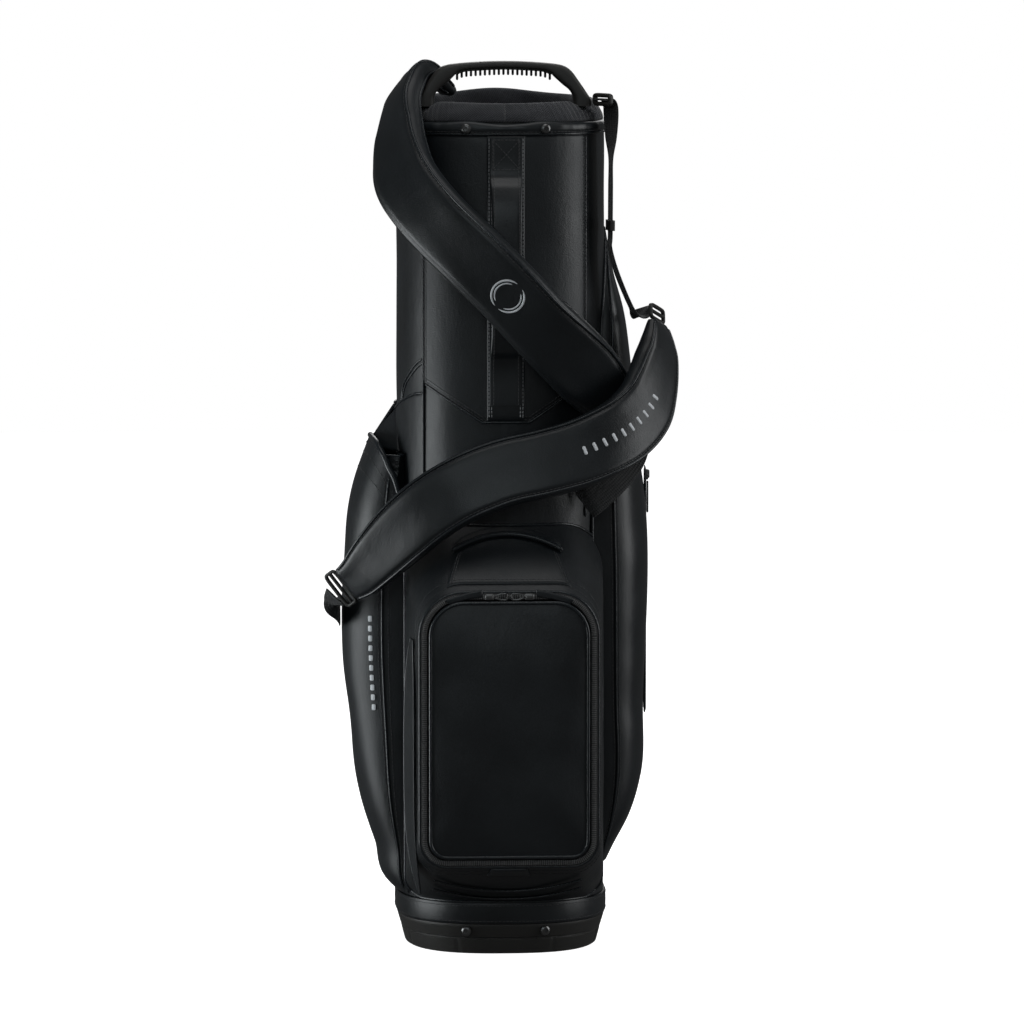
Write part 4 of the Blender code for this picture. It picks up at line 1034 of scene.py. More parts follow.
def make_carry_handle():
    back = -0.1241
    stations = [
        (back - 0.0013, 0.8325, 0.0165, 0.0016), (back - 0.0015, 0.7960, 0.0165, 0.0018),
        (back - 0.0104, 0.7800, 0.0160, 0.0032), (back - 0.0170, 0.7550, 0.0152, 0.0040),
        (back - 0.0178, 0.7000, 0.0150, 0.0043), (back - 0.0170, 0.6450, 0.0152, 0.0040),
        (back - 0.0104, 0.6200, 0.0160, 0.0032), (back - 0.0015, 0.6050, 0.0165, 0.0018),
        (back - 0.0013, 0.5620, 0.0165, 0.0016),
    ]
    rows = spline(stations, 90)
    path = np.stack([np.zeros(len(rows)), rows[:, 0], rows[:, 1]], -1)
    body = sweep_part(path, np.array([0, -1.0, 0.05]), superellipse(1.0, 1.0, 5.0, 40), scale=rows[:, 2:])
    place("carry_grip", [body], "smooth_leather", stands_for=["carry_handle"])
    _, _, lift = frames(path, np.broadcast_to([0.0, -1.0, 0.05], path.shape))
    top = path + lift * (rows[:, 3:] + 0.0001)
    stitches = []
    for side in (-1, 1):
        stitches.append(stitch_part(top + np.array([side * 0.0125, 0, 0]), lift, 0.0036, 0.00036))
    place("carry_grip_stitches", stitches, "dark_thread")
    face = back - 0.0032
    boxes = []
    low, high = 0.8005, 0.8300
    corners = [(-0.0135, face, low), (0.0135, face, low), (0.0135, face, high), (-0.0135, face, high)]
    for a, b in ((0, 1), (1, 2), (2, 3), (3, 0), (0, 2), (1, 3)):
        boxes.append(stitch_part(np.linspace(corners[a], corners[b], 12), (0, -1, 0), 0.0036, 0.00042))
    place("carry_grip_cross", boxes, "dark_thread")


# Ball pocket


def rounded_loop(size, inset=0.0, arc=14, line=34):
    """A rounded rectangle in X and Z: four arcs with the straight runs between them, anticlockwise."""
    half_x, low, high, low_radius, high_radius = size
    half_x, low, high = half_x - inset, low + inset, high - inset
    low_radius, high_radius = low_radius - inset, high_radius - inset
    corners = (
        (half_x - high_radius, high - high_radius, high_radius, 0),
        (high_radius - half_x, high - high_radius, high_radius, 90),
        (low_radius - half_x, low + low_radius, low_radius, 180),
        (half_x - low_radius, low + low_radius, low_radius, 270),
    )
    arcs = []
    for x, z, radius, start in corners:
        turn = np.radians(start + 90 * np.linspace(0, 1, arc))
        arcs.append(np.stack([x + radius * np.cos(turn), z + radius * np.sin(turn)], -1))
    runs = []
    for number, bend in enumerate(arcs):
        following = arcs[(number + 1) % 4][0]
        runs += [bend, np.linspace(bend[-1], following, line + 2)[1:-1]]
    return np.vstack(runs)


def loop_outward(loop):
    """Direction out of an anticlockwise loop, in X and Z."""
    along = unit(np.roll(loop, -1, 0) - np.roll(loop, 1, 0))
    return np.stack([along[:, 1], -along[:, 0]], -1)


def root_y(x):
    return np.minimum(ROOT_Y, front_y(x, -0.0004))


def housing_rows(inset, swell):
    """From the body to the mouth: the two loops blended, bulged outwards in between."""
    share = np.linspace(0, 1, 40)[:, None]
    rear, front = rounded_loop(ROOT, inset), rounded_loop(MOUTH, inset)
    loop = rear[None] * (1 - share)[..., None] + front[None] * share[..., None]
    out = loop_outward(rear)[None] * (1 - share)[..., None] + loop_outward(front)[None] * share[..., None]
    bulge = swell * np.sin(math.pi * share) ** 0.8
    wrinkle = 0.0009 * ripple(np.arange(len(rear))[None, :] / 26, share * 1.4, 12) * np.sin(math.pi * share)
    loop = loop + out * (bulge + wrinkle * (swell > 0))[..., None]
    y = root_y(rear[:, 0])[None] * (1 - share) + MOUTH_Y * share
    return np.stack([loop[..., 0], y, loop[..., 1]], -1)


def in_plane(loop, y):
    return np.stack([loop[:, 0], np.full(len(loop), y), loop[:, 1]], -1)


def closed_path(path, count):
    """A loop resampled to even steps."""
    loop = np.vstack([path, path[:1]])
    run = lengths(loop)
    at = np.linspace(0, run[-1], count, endpoint=False)
    return np.stack([np.interp(at, run, loop[:, k]) for k in range(3)], -1)


def make_housing():
    outer, inner = housing_rows(0.0, 0.0026), housing_rows(0.0040, 0.0)
    place("ball_housing_skin", [shell_part(outer, inner, wrap_columns=True)], "leather",
          stands_for=["ball_pocket_housing"])
    lip = closed_path(in_plane(rounded_loop(MOUTH, 0.0008), MOUTH_Y - 0.0002), 360)
    root = rounded_loop(ROOT, -0.0002)
    seat = np.stack([root[:, 0], root_y(root[:, 0]) - 0.0004, root[:, 1]], -1)
    place("ball_housing_piping", [cord_part(lip, 0.0019, closed=True), cord_part(closed_path(seat, 360), 0.0017, closed=True)],
          "piping")
    rows = []
    for row, lift in ((33, 0.0), (36, 0.0)):
        path = closed_path(outer[row], 400)
        out = closed_path(outer[row] - outer[row].mean(0), 400)
        rows.append(stitch_part(path + unit(out) * (0.0002 + lift), unit(out), 0.0040, 0.00034))
    place("ball_housing_stitches", rows, "dark_thread")
    x = np.linspace(-0.0760, 0.0760, 120)
    belly = []
    for low_share, rise in ((0.16, 0.30), (0.42, 0.30)):
        share = low_share + rise * (x / 0.0760) ** 2
        z = ROOT[1] * (1 - share) + MOUTH[1] * share - 0.0026 * np.sin(math.pi * share) ** 0.8
        y = root_y(x) * (1 - share) + MOUTH_Y * share
        belly.append(cord_part(np.stack([x, y - 0.0008, z - 0.0012], -1), 0.0012))
    place("ball_belly_seams", belly, "piping")


def make_ball_zip():
    near, far = MOUTH_Y - 0.0003, MOUTH_Y - 0.0026
    loops = [(0.0012, near), (0.0016, far + 0.0005), (0.0024, far), (0.0050, far - 0.0002), (0.0080, far), (0.0092, near)]
    grid = np.stack([in_plane(rounded_loop(MOUTH, inset), y) for inset, y in loops])
    rows, columns = grid.shape[:2]
    tape = Part(grid.reshape(-1, 3), quads(rows, columns, True, True).tolist())
    place("ball_zip_tape", [tape], "zip_tape", stands_for=["ball_zip_track"])
    path = closed_path(in_plane(rounded_loop(MOUTH, 0.0052), far - 0.0006), 1200)
    along = unit(np.roll(path, -1, 0) - np.roll(path, 1, 0))
    lift = np.broadcast_to([0.0, -1.0, 0.0], path.shape)
    spots, heading, lift = evenly(path, 0.0019, along, lift)
    across = np.cross(unit(heading), lift)
    template, faces = bead(0.0024, 0.00062, 0.00085)
    place("ball_zip_coil", [scatter(template, faces, spots, across, unit(heading), lift)], "zip_coil")


def lid_surface(inset):
    """The lid: its loop shrunk towards the middle, crowned forwards, with soft creases from the corners."""
    edge = rounded_loop(MOUTH, inset)
    middle = np.array([0.0, 0.240])
    shrink = np.sin(np.linspace(math.pi / 2, 0.02, 46))[:, None, None]
    loop = middle + (edge - middle)[None] * shrink
    x, z = loop[..., 0], loop[..., 1]
    reach = shrink[..., 0]
    crown = 0.0078 * (1 - reach**3.2)
    slant = (x * 0.82 + (z - 0.24) * 0.57) / 0.055
    crease = 0.0013 * ripple(x / 0.11, (z - 0.24) / 0.13, 17) * (1 - reach**6) * (0.35 + reach)
    fold = 0.0014 * np.exp(-((slant - 1.1) / 0.34) ** 2) + 0.0010 * np.exp(-((slant + 1.5) / 0.30) ** 2)
    return np.stack([x, MOUTH_Y - 0.0052 - crown - crease - fold * (1 - reach**4), z], -1)


def make_lid():
    front = lid_surface(LID_INSET + 0.0006)
    rim = [in_plane(rounded_loop(MOUTH, LID_INSET + 0.0006), MOUTH_Y - 0.0044),
           in_plane(rounded_loop(MOUTH, LID_INSET + 0.0012), MOUTH_Y - 0.0016),
           in_plane(rounded_loop(MOUTH, LID_INSET + 0.0300), MOUTH_Y - 0.0014)]
    grid = np.concatenate([np.stack(rim)[::-1], front])
    place("ball_lid_skin", [tube_part(grid)], "leather", body="ball_pocket_lid", stands_for=["ball_pocket_lid"])
    lip = closed_path(in_plane(rounded_loop(MOUTH, LID_INSET + 0.0012), MOUTH_Y - 0.0058), 360)
    place("ball_lid_piping", [cord_part(lip, 0.0019, closed=True)], "piping", body="ball_pocket_lid")


def slider_parts(seat, across, along, outward, size):
    """A zip slider: a waisted body with side wings, and a bridge for its pull."""
    width, length, height = size
    body = rounded_box_part(seat + outward * height * 0.34, across, along, outward, (width, length, height * 0.62))
    top = rounded_box_part(seat + outward * height * 0.72 + along * length * 0.06, across, along, outward,
                           (width * 0.62, length * 0.80, height * 0.5))
    return [body, top]


def ring_pull_parts(hinge, across, down, outward, width, length, thick):
    """A pull: a small eye at the hinge, a shank that widens, and an open ring at the end."""
    u = np.linspace(0, 1, 40)
    half = width / 2
    neck = half * 0.55
    outline = np.stack([
        np.concatenate([neck + (half - neck) * np.clip(u * 2.4 - 0.3, 0, 1)]), length * (0.04 + 0.92 * u)], -1)
    left = np.stack([-outline[:, 0], outline[:, 1]], -1)[::-1]
    turn = np.linspace(0, math.pi, 16)[1:-1]
    end = np.stack([half * np.cos(turn), outline[-1, 1] + half * 0.35 * np.sin(turn)], -1)
    loop = np.vstack([outline, end, left])
    flat = np.concatenate([loop, np.zeros((len(loop), 1))], -1)
    path = closed_path(local(hinge, across, down, outward, flat), 110)
    radius = thick / 2
    bar = np.linspace([-half * 0.8, length * 0.30, 0], [half * 0.8, length * 0.30, 0], 8)
    frame_part = sweep_part(path, outward, superellipse(radius * 1.3, radius, 3.0, 12), closed=True)
    return [frame_part, cord_part(local(hinge, across, down, outward, bar), radius * 0.9)]


def make_ball_pulls():
    front = MOUTH_Y - 0.0034
    across, along, outward = np.array([0, 0, 1.0]), np.array([1.0, 0, 0]), np.array([0, -1.0, 0])
    for label, side in (("left", -1), ("right", 1)):
        seat = np.array([side * 0.0200, front, ZIP_Z])
        place(f"ball_slider_{label}_body", slider_parts(seat, across, along * side, outward, (0.0064, 0.0090, 0.0040)),
              "dark_metal", stands_for=[f"ball_slider_{label}"])
        hinge = np.array([side * 0.0146, front - 0.0018, ZIP_Z])
        place(f"ball_pull_{label}_ring", ring_pull_parts(hinge, across, -along * side, outward, 0.0060, 0.0116, 0.0014),
              "dark_metal", body=f"ball_pull_{label}", stands_for=[f"ball_pull_{label}"])
    for label, side in (("left", -1), ("right", 1)):
        z = ZIP_Z
        base = flat_grid((side * 0.0268, front + 0.0004, z - 0.0010), (side * 0.0268, front + 0.0004, z + 0.0068),
                         (side * 0.0660, front + 0.0004, z - 0.0040), (side * 0.0600, front + 0.0004, z - 0.0085), 24, 14)
        base[..., 2] += 0.0016 * np.sin(np.linspace(0, math.pi, 24))[:, None]
        out = np.broadcast_to([0.0, -1.0, 0.0], base.shape)
        place(f"garage_flap_{label}", [inlay_part(base, out, 0.0022, squareness=8)], "smooth_leather",
              stands_for=[f"zip_garage_{label}"])
    run, fall = 0.0662, 0.0450
    out = unit(np.array([0, -fall, -run]))
    down = unit(np.array([0, run, -fall]))
    top = np.array([0, MOUTH_Y, 0.100]) + out * 0.0020 - down * 0.0006
    low = top + down * 0.0160
    side = np.array([1.0, 0, 0])
    base = flat_grid(top - side * 0.018, top + side * 0.018, low + side * 0.022, low - side * 0.022, 18, 22)
    place("anchor_tab_leather", [inlay_part(base, np.broadcast_to(out, base.shape), 0.0018)], "smooth_leather",
          stands_for=["lid_anchor_tab"])


def roof_point(x, share, lift):
    """A point on the sloping roof: share 0 at the body, 1 at the mouth; lift stands off it."""
    drop = np.maximum(0.0, np.abs(x) - (MOUTH[0] - 0.045))
    front_z = MOUTH[2] - 0.045 + np.sqrt(np.maximum(0.045**2 - drop**2, 0))
    y = root_y(x) * (1 - share) + MOUTH_Y * share
    z = ROOT[2] * (1 - share) + front_z * share
    stand = lift + 0.0022 * np.sin(math.pi * np.clip(share, 0, 1)) ** 0.8
    return np.stack(np.broadcast_arrays(x, y - 0.47 * stand, z + 0.88 * stand), -1)


def make_roof():
    v = ((eased_ends(40) + 1) / 2)[:, None]
    u = eased_ends(50)[None, :]
    half = 0.0500 + 0.0130 * v
    x = half * u
    share = 0.225 + 0.685 * v + 0.25 * u**2 * (1 - v) ** 1.4
    base = roof_point(x, share, 0.0002)
    out = np.broadcast_to(unit(np.array([0, -0.47, 0.88])), base.shape)
    place("roof_pocket_panel", [inlay_part(base, out, 0.0020, squareness=22)], "smooth_leather",
          stands_for=["valuables_panel"])
    u = np.linspace(-1, 1, 90)
    x = 0.0560 * u
    share = 0.195 + 0.26 * u**2
    place("roof_pocket_lip", [cord_part(roof_point(x, share, 0.0036), 0.0027, up=(0, -0.47, 0.88), sides=14)], "piping")
    v = ((eased_ends(16) + 1) / 2)[:, None]
    u = eased_ends(50)[None, :]
    base = roof_point(0.0545 * u, 0.07 + 0.13 * v + 0.25 * u**2, 0.0002)
    out = np.broadcast_to(unit(np.array([0, -0.47, 0.88])), base.shape)
    place("roof_pocket_welt", [inlay_part(base, out, 0.0052, squareness=6)], "smooth_leather",
          stands_for=["valuables_welt"])
    lines = []
    for shrink in (0.95, 0.90):
        corners = [(-0.0520, 0.48), (-0.0625, 0.89), (0.0625, 0.89), (0.0520, 0.48)]
        for a, b in zip(corners, corners[1:]):
            ends = np.linspace((a[0] * shrink, a[1]), (b[0] * shrink, b[1]), 40)
            lines.append(stitch_part(roof_point(ends[:, 0], ends[:, 1] - (0.95 - shrink) * 0.6, 0.0024), (0, -0.47, 0.88)))
    place("roof_pocket_stitches", lines, "dark_thread")


# Side pockets


def curve_at(stations, value):
    """Smooth curve through stations of (value, reading): cubic pieces whose slopes are the chords'."""
    known = np.array(stations, float)
    at, reading = known[:, 0], known[:, 1]
    slope = np.gradient(reading, at)
    first = np.clip(np.searchsorted(at, value, side="right") - 1, 0, len(at) - 2)
    width = at[first + 1] - at[first]
    t = np.clip((value - at[first]) / width, 0, 1)
    a, b = reading[first], reading[first + 1]
    p, q = slope[first] * width, slope[first + 1] * width
    return (2 * t**3 - 3 * t**2 + 1) * a + (t**3 - 2 * t**2 + t) * p + (3 * t**2 - 2 * t**3) * b + (t**3 - t**2) * q


def side_point(side, bulges, spans, degrees, z, inset=0.0):
    """A side pocket's wall: -90 degrees at its front edge, 90 at its back, swollen outwards between."""
    turn = np.radians(degrees)
    bulge, half = curve_at(bulges, z), curve_at(spans, z)
    y = (half - inset) * signed_power(np.sin(turn), POCKET_SKEW)
    swell = np.maximum(bulge - inset, 0.0002) * np.abs(np.cos(turn)) ** POCKET_SKEW
    return np.stack(np.broadcast_arrays(side * (side_x(y) + 0.0008 + swell), y, z), -1)


def pocket_degrees(count, low=-90, high=90):
    """Turns across a pocket, spaced so that its boxy section has even steps."""
    fine = np.linspace(low, high, 3000)
    section = side_point(1, LEFT_BULGE, LEFT_SPAN, fine, np.full_like(fine, 0.30))
    run = lengths(section)
    return np.interp(np.linspace(0, run[-1], count), run, fine)


def pocket_normals(grid, side):
    """Outward directions of a grid whose rows rise and whose columns run from front to back."""
    normal = unit(np.cross(np.gradient(grid, axis=1), np.gradient(grid, axis=0)))
    flip = np.sign(np.sum(normal[..., 0] * side))
    return normal * flip


def pocket_shell(side, bulges, spans, low, top, seed, zip_at, rows=90, columns=110):
    degrees = pocket_degrees(columns)
    share = np.linspace(0, 1, rows)[:, None]
    z = low + (top(degrees)[None, :] - low) * share
    grid = side_point(side, bulges, spans, degrees[None, :] + 0 * share, z)
    normal = pocket_normals(grid, side)
    fade = np.sin(math.pi * np.clip((degrees + 90) / 180, 0, 1))[None, :] * np.clip(share * 8, 0, 1)
    still = 1 - np.exp(-((degrees - zip_at) / 16) ** 4)[None, :]
    wave = 0.0012 * ripple(degrees[None, :] / 70, z / 0.11, seed) * fade * still
    outer = grid + normal * wave[..., None]
    inner = side_point(side, bulges, spans, degrees[None, :] + 0 * share, z, POCKET_WALL)
    return shell_part(outer, inner), outer, normal, degrees


def pocket_seam_paths(outer, normal, columns, lift, low=2, high=-2):
    return [(outer[low:high, column] + normal[low:high, column] * lift, normal[low:high, column]) for column in columns]


def near(values, wanted):
    return int(np.argmin(np.abs(values - wanted)))


def make_left_pocket():
    def mouth(degrees):
        return curve_at(LEFT_MOUTH, degrees)

    skin, outer, normal, degrees = pocket_shell(-1, LEFT_BULGE, LEFT_SPAN, 0.0560, mouth, 33, 66)
    place("left_pocket_skin", [skin], "leather", stands_for=["left_pocket"])
    rim = outer[-1] + np.array([0.0012, 0, 0.0004])
    fold = cord_part(rim, 0.0030, sides=14)
    front = near(degrees, -74)
    cords = [fold, cord_part(outer[1:-1, front] + normal[1:-1, front] * 0.0003, 0.0014)]
    edge = outer[1:, 0] + np.array([-0.0006, -0.0008, 0])
    cords.append(cord_part(edge, 0.0016))
    place("left_pocket_piping", cords, "piping")
    seams = []
    for path, out in pocket_seam_paths(outer, normal, [near(degrees, d) for d in (-79, -70, 62, 66)], 0.0003):
        seams.append(stitch_part(path, out))
    for row in (-4, -7):
        seams.append(stitch_part(outer[row, 4:-4] + normal[row, 4:-4] * 0.0003, normal[row, 4:-4]))
    place("left_pocket_stitches", seams, "dark_thread")
    marks = []
    z = np.linspace(0.2480, 0.3390, 10)
    seat = side_point(-1, LEFT_BULGE, LEFT_SPAN, np.full_like(z, -60.0), z)
    across = unit(side_point(-1, LEFT_BULGE, LEFT_SPAN, np.full_like(z, -58.0), z)
                  - side_point(-1, LEFT_BULGE, LEFT_SPAN, np.full_like(z, -62.0), z))
    up = np.broadcast_to([0.0, 0.0, 1.0], seat.shape)
    template, faces = bead(0.0030, 0.0022, 0.0005)
    out = np.cross(up, across)
    out = out * np.sign(-out[:, :1])
    marks.append(scatter(template, faces, seat + out * 0.0007, up, across, out))
    place("left_pocket_bars", marks, "pale_print")
    make_bottle_well()


def well_section(z, inset, back_gap, count=56):
    """One level of the bottle well: round the pocket's wall and back along the body."""
    degrees = pocket_degrees(count, -84, 84)
    level = np.full_like(degrees, z)
    front = side_point(-1, LEFT_BULGE, LEFT_SPAN, degrees, level, inset)
    y = np.linspace(front[-1, 1], front[0, 1], 22)[1:-1]
    back = np.stack([-side_x(y) - back_gap, y, np.full_like(y, z)], -1)
    return np.vstack([front, back])


def make_bottle_well():
    clear = POCKET_WALL + 0.0008
    z = np.linspace(0.2898, 0.5050, 84)
    rib = 0.0007 * np.cos(2 * math.pi * (z - z[0]) / 0.0072)
    outer = np.stack([well_section(level, clear - 0.0001 + wave * 0.4 + 0.0003, 0.0010) for level, wave in zip(z, rib)])
    inner = np.stack([well_section(level, clear + 0.0016 + wave, 0.0026 + wave) for level, wave in zip(z, rib)])
    place("bottle_liner", [shell_part(outer, inner, wrap_columns=True)], "lining", stands_for=["bottle_sleeve"])
    lip = closed_path(well_section(0.5056, clear + 0.0007, 0.0018), 260)
    place("bottle_liner_lip", [cord_part(lip, 0.0014, closed=True)], "piping")
    base = [well_section(level, clear + shrink, 0.0012 + shrink) for level, shrink in
            ((0.2862, 0.0040), (0.2860, 0.0004), (0.2884, 0.0), (0.2895, 0.0012), (0.2897, 0.0060))]
    place("bottle_rest", [tube_part(np.stack(base))], "velour", stands_for=["bottle_floor"])
    degrees = pocket_degrees(40, 10, 86)
    share = np.linspace(0, 1, 24)[:, None]
    rim = side_point(-1, LEFT_BULGE, LEFT_SPAN, degrees, np.full_like(degrees, 0.5128), POCKET_WALL)
    root = np.stack([-side_x(rim[:, 1]) - 0.0010, rim[:, 1], np.full_like(degrees, 0.5530)], -1)
    grid = root[None] * (1 - share)[..., None] + rim[None] * share[..., None]
    sag = 0.0035 * np.sin(math.pi * share) * np.sin(math.pi * np.linspace(0, 1, 40))[None]
    grid = grid + np.array([-0.35, 0, 0.94]) * sag[..., None]
    down = np.array([0.0004, 0, -0.0022])
    roof = shell_part(grid, grid + down)
    place("well_roof", [roof], "smooth_leather", stands_for=["bottle_gusset"])
    place("well_roof_piping", [cord_part(grid[0] + np.array([-0.0008, 0, 0.0004]), 0.0015),
                               cord_part(grid[:, 0] + np.array([0, 0, 0.0002]), 0.0016)], "piping")


def make_right_pocket():
    def ceiling(degrees):
        return np.full_like(degrees, 0.7360)

    skin, outer, normal, degrees = pocket_shell(1, RIGHT_BULGE, RIGHT_SPAN, 0.0860, ceiling, 52, -3, rows=120)
    place("right_pocket_skin", [skin], "smooth_leather", stands_for=["right_pocket"])
    cords = [cord_part(outer[1:-2, column] + normal[1:-2, column] * 0.0004, 0.0015)
             for column in (near(degrees, -72), near(degrees, 72))]
    cords.append(cord_part(outer[:-2, 0] + np.array([0.0006, -0.0008, 0]), 0.0015))
    place("right_pocket_piping", cords, "piping")
    seams = []
    for path, out in pocket_seam_paths(outer, normal, [near(degrees, d) for d in (-76, -67, 67, 76)], 0.0003):
        seams.append(stitch_part(path, out))
    place("right_pocket_stitches", seams, "dark_thread")


def make_zip_set(label, low, high, outward, rest, pull_length):
    """A straight zip: woven tape, a coil of teeth, a slider at rest and a ring pull that hangs from it."""
    along = unit(high - low)
    outward = unit(outward - along * np.dot(outward, along))
    across = np.cross(along, outward)
    length = float(np.linalg.norm(high - low))
    middle = (low + high) / 2 + outward * 0.0004
    tape = rounded_box_part(middle, across, along, outward, (0.0140, length, 0.0016))
    lips = []
    for side in (-1, 1):
        line = np.linspace(low, high, 60) + across * side * 0.0062 + outward * 0.0008
        lips.append(cord_part(line, 0.0013, up=outward))
    place(f"{label}_zip_tape", [tape], "zip_tape", stands_for=[f"{label}_zip_track"])
    place(f"{label}_zip_lips", lips, "piping")
    path = np.linspace(low + along * 0.002, high - along * 0.002, 40) + outward * 0.0008
    spots = evenly(path, 0.0019)[0]
    template, faces = bead(0.0022, 0.0006, 0.0006)
    rows = [np.broadcast_to(v, spots.shape) for v in (across, along, outward)]
    place(f"{label}_zip_coil", [scatter(template, faces, spots, *rows)], "zip_coil")
    seat = low + along * rest + outward * 0.0016
    place(f"{label}_slider_body", slider_parts(seat, across, along, outward, (0.0072, 0.0105, 0.0040)), "dark_metal",
          body=f"{label}_slider", stands_for=[f"{label}_slider"])
    hinge = seat - along * 0.0065 + outward * 0.0018
    place(f"{label}_pull_ring", ring_pull_parts(hinge, across, -along, outward, 0.0066, pull_length, 0.0018),
          "dark_metal", body=f"{label}_pull", stands_for=[f"{label}_pull"])


def pocket_spot(side, bulges, spans, degrees, z):
    """A point on a side pocket, and the level direction out of it."""
    turn = np.array([degrees - 2.0, degrees, degrees + 2.0])
    spots = side_point(side, bulges, spans, turn, np.full(3, z))
    step = spots[2] - spots[0]
    out = unit(np.array([step[1], -step[0], 0.0]))
    return spots[1], out * math.copysign(1.0, out[0] * side)


def make_side_zips():
    low, out = pocket_spot(1, RIGHT_BULGE, RIGHT_SPAN, -3, 0.2350)
    low = np.array([0.14730, low[1], 0.2350])
    high = low + np.array([0, 0, 0.2550])
    make_zip_set("right", low + out * 0.0008, high + out * 0.0008, out, 0.2460, 0.0320)
    low, out = pocket_spot(-1, LEFT_BULGE, LEFT_SPAN, 66, 0.1500)
    high = pocket_spot(-1, LEFT_BULGE, LEFT_SPAN, 66, 0.2650)[0]
    make_zip_set("left", low + out * 0.0016, high + out * 0.0016, out, 0.1060, 0.0260)
    slope = unit(np.array([ROOT[0] - MOUTH[0], ROOT_Y - MOUTH_Y, 0]))
    out = np.array([-slope[1], -slope[0], 0])
    top = np.array([-0.09749, -0.13053, 0.3080])
    along = np.array([0, 0, 1.0])
    across = np.cross(along, out)
    tab = rounded_box_part(top - along * 0.0070, across, along, out, (0.0080, 0.0125, 0.0022))
    ring = ring_pull_parts(top - along * 0.0115, across, -along, out, 0.0080, 0.0140, 0.0016)
    place("recess_pull_tab", [tab] + ring, "smooth_leather", body="gusset_pull", stands_for=["gusset_pull"])
    place("recess_flap", [ribbon_part(SIDE_FLAP, 0.0020)], "smooth_leather", stands_for=["side_flap"])
    centre, _, across, _, width = strap_frame(SIDE_FLAP, 90)
    place("recess_flap_piping", [cord_part(centre - across * width / 2, 0.0013)], "piping")


# Back


def make_back():
    turns = math.pi + turns_between(-37, 37, 90)
    rows = np.linspace(0, 1, 80)
    u = np.linspace(-1, 1, 90)[None, :]
    v = (2 * rows - 1)[:, None]
    z = 0.380 + 0.220 * rows[:, None] + 0 * u
    dome = np.clip(1 - np.abs(u) ** 4, 0, 1) ** 0.5 * np.clip(1 - np.abs(v) ** 6, 0, 1) ** 0.5
    channel = 0.0034 * (np.exp(-((u - 0.33) / 0.035) ** 2) + np.exp(-((u + 0.33) / 0.035) ** 2)) * dome
    channel = channel + 0.0028 * (np.exp(-((v - 0.35) / 0.05) ** 2) + np.exp(-((v + 0.35) / 0.05) ** 2)) * dome
    reach = 0.0006 + 0.0145 * dome - channel
    base = oval(-0.0001, turns[None, :], z)
    out = np.broadcast_to(oval_outward(turns)[None], base.shape)
    place("hip_cushion", [shell_part(base + out * reach[..., None], base - out * 0.0006)], "spacer_mesh",
          stands_for=["hip_pad"])
    edge = np.concatenate([base[0], base[1:, -1], base[-1, -2::-1], base[-2:0:-1, 0]])
    lift = np.concatenate([out[0], out[1:, -1], out[-1, -2::-1], out[-2:0:-1, 0]])
    place("hip_cushion_piping", [cord_part(closed_path(edge + lift * 0.0010, 320), 0.0020, closed=True)], "piping")


# Straps


def tilt(angle, lean):
    """A strap's across direction: angle in the front plane, lean towards the front, in degrees."""
    a, b = math.radians(angle), math.radians(lean)
    return (math.cos(b) * math.cos(a), -math.sin(b), math.cos(b) * math.sin(a))


UPPER_STRAP = [
    ((-0.052, -0.027, 0.8745), (0.10, -1.0, 0.10), 0.040),
    ((-0.070, -0.031, 0.8895), (0.00, -1.0, 0.10), 0.046),
    ((-0.087, -0.044, 0.8890), (-0.05, -1.0, 0.12), 0.054),
    ((-0.1020, -0.068, 0.8700), (0.25, -1.0, 0.10), 0.062),
    ((-0.1070, -0.086, 0.8400), tilt(8, 62), 0.068),
    ((-0.1065, -0.102, 0.8140), tilt(20, 48), 0.071),
    ((-0.1020, -0.118, 0.7920), tilt(28, 33), 0.072),
    ((-0.0880, -0.136, 0.7700), tilt(34, 26), 0.072),
    ((-0.0670, -0.152, 0.7460), tilt(41, 22), 0.072),
    ((-0.0350, -0.164, 0.7150), tilt(43, 20), 0.072),
    ((0.0000, -0.167, 0.6800), tilt(45, 20), 0.072),
    ((0.0300, -0.162, 0.6480), tilt(45, 20), 0.072),
    ((0.0580, -0.147, 0.6200), tilt(46, 12), 0.072),
    ((0.0850, -0.121, 0.5910), tilt(44, -2), 0.070),
    ((0.1070, -0.098, 0.5640), tilt(42, -3), 0.056),
    ((0.1200, -0.088, 0.5490), tilt(42, 0), 0.040),
]
LOWER_STRAP = [
    ((0.1560, -0.080, 0.6420), tilt(-42, -58), 0.040),
    ((0.1560, -0.086, 0.6220), tilt(-32, -55), 0.056),
    ((0.1540, -0.092, 0.6030), tilt(-28, -50), 0.066),
    ((0.1480, -0.103, 0.5780), tilt(-36, -38), 0.070),
    ((0.1390, -0.116, 0.5570), tilt(-46, -22), 0.070),
    ((0.1210, -0.132, 0.5390), tilt(-57, -6), 0.070),
    ((0.0980, -0.145, 0.5260), tilt(-63, 5), 0.070),
    ((0.0710, -0.153, 0.5150), tilt(-68, 12), 0.070),
    ((0.0370, -0.159, 0.5060), tilt(-70, 16), 0.070),
    ((0.0000, -0.161, 0.4980), tilt(-68, 18), 0.070),
    ((-0.0290, -0.161, 0.4880), tilt(-61, 18), 0.070),
    ((-0.0560, -0.159, 0.4750), tilt(-57, 18), 0.069),
    ((-0.0810, -0.152, 0.4580), tilt(-57, 16), 0.068),
    ((-0.1040, -0.141, 0.4370), tilt(-58, 14), 0.066),
    ((-0.1270, -0.126, 0.4120), tilt(-57, 10), 0.058),
    ((-0.1450, -0.111, 0.3910), tilt(-57, 5), 0.048),
    ((-0.1600, -0.100, 0.3790), tilt(-56, 0), 0.038),
]
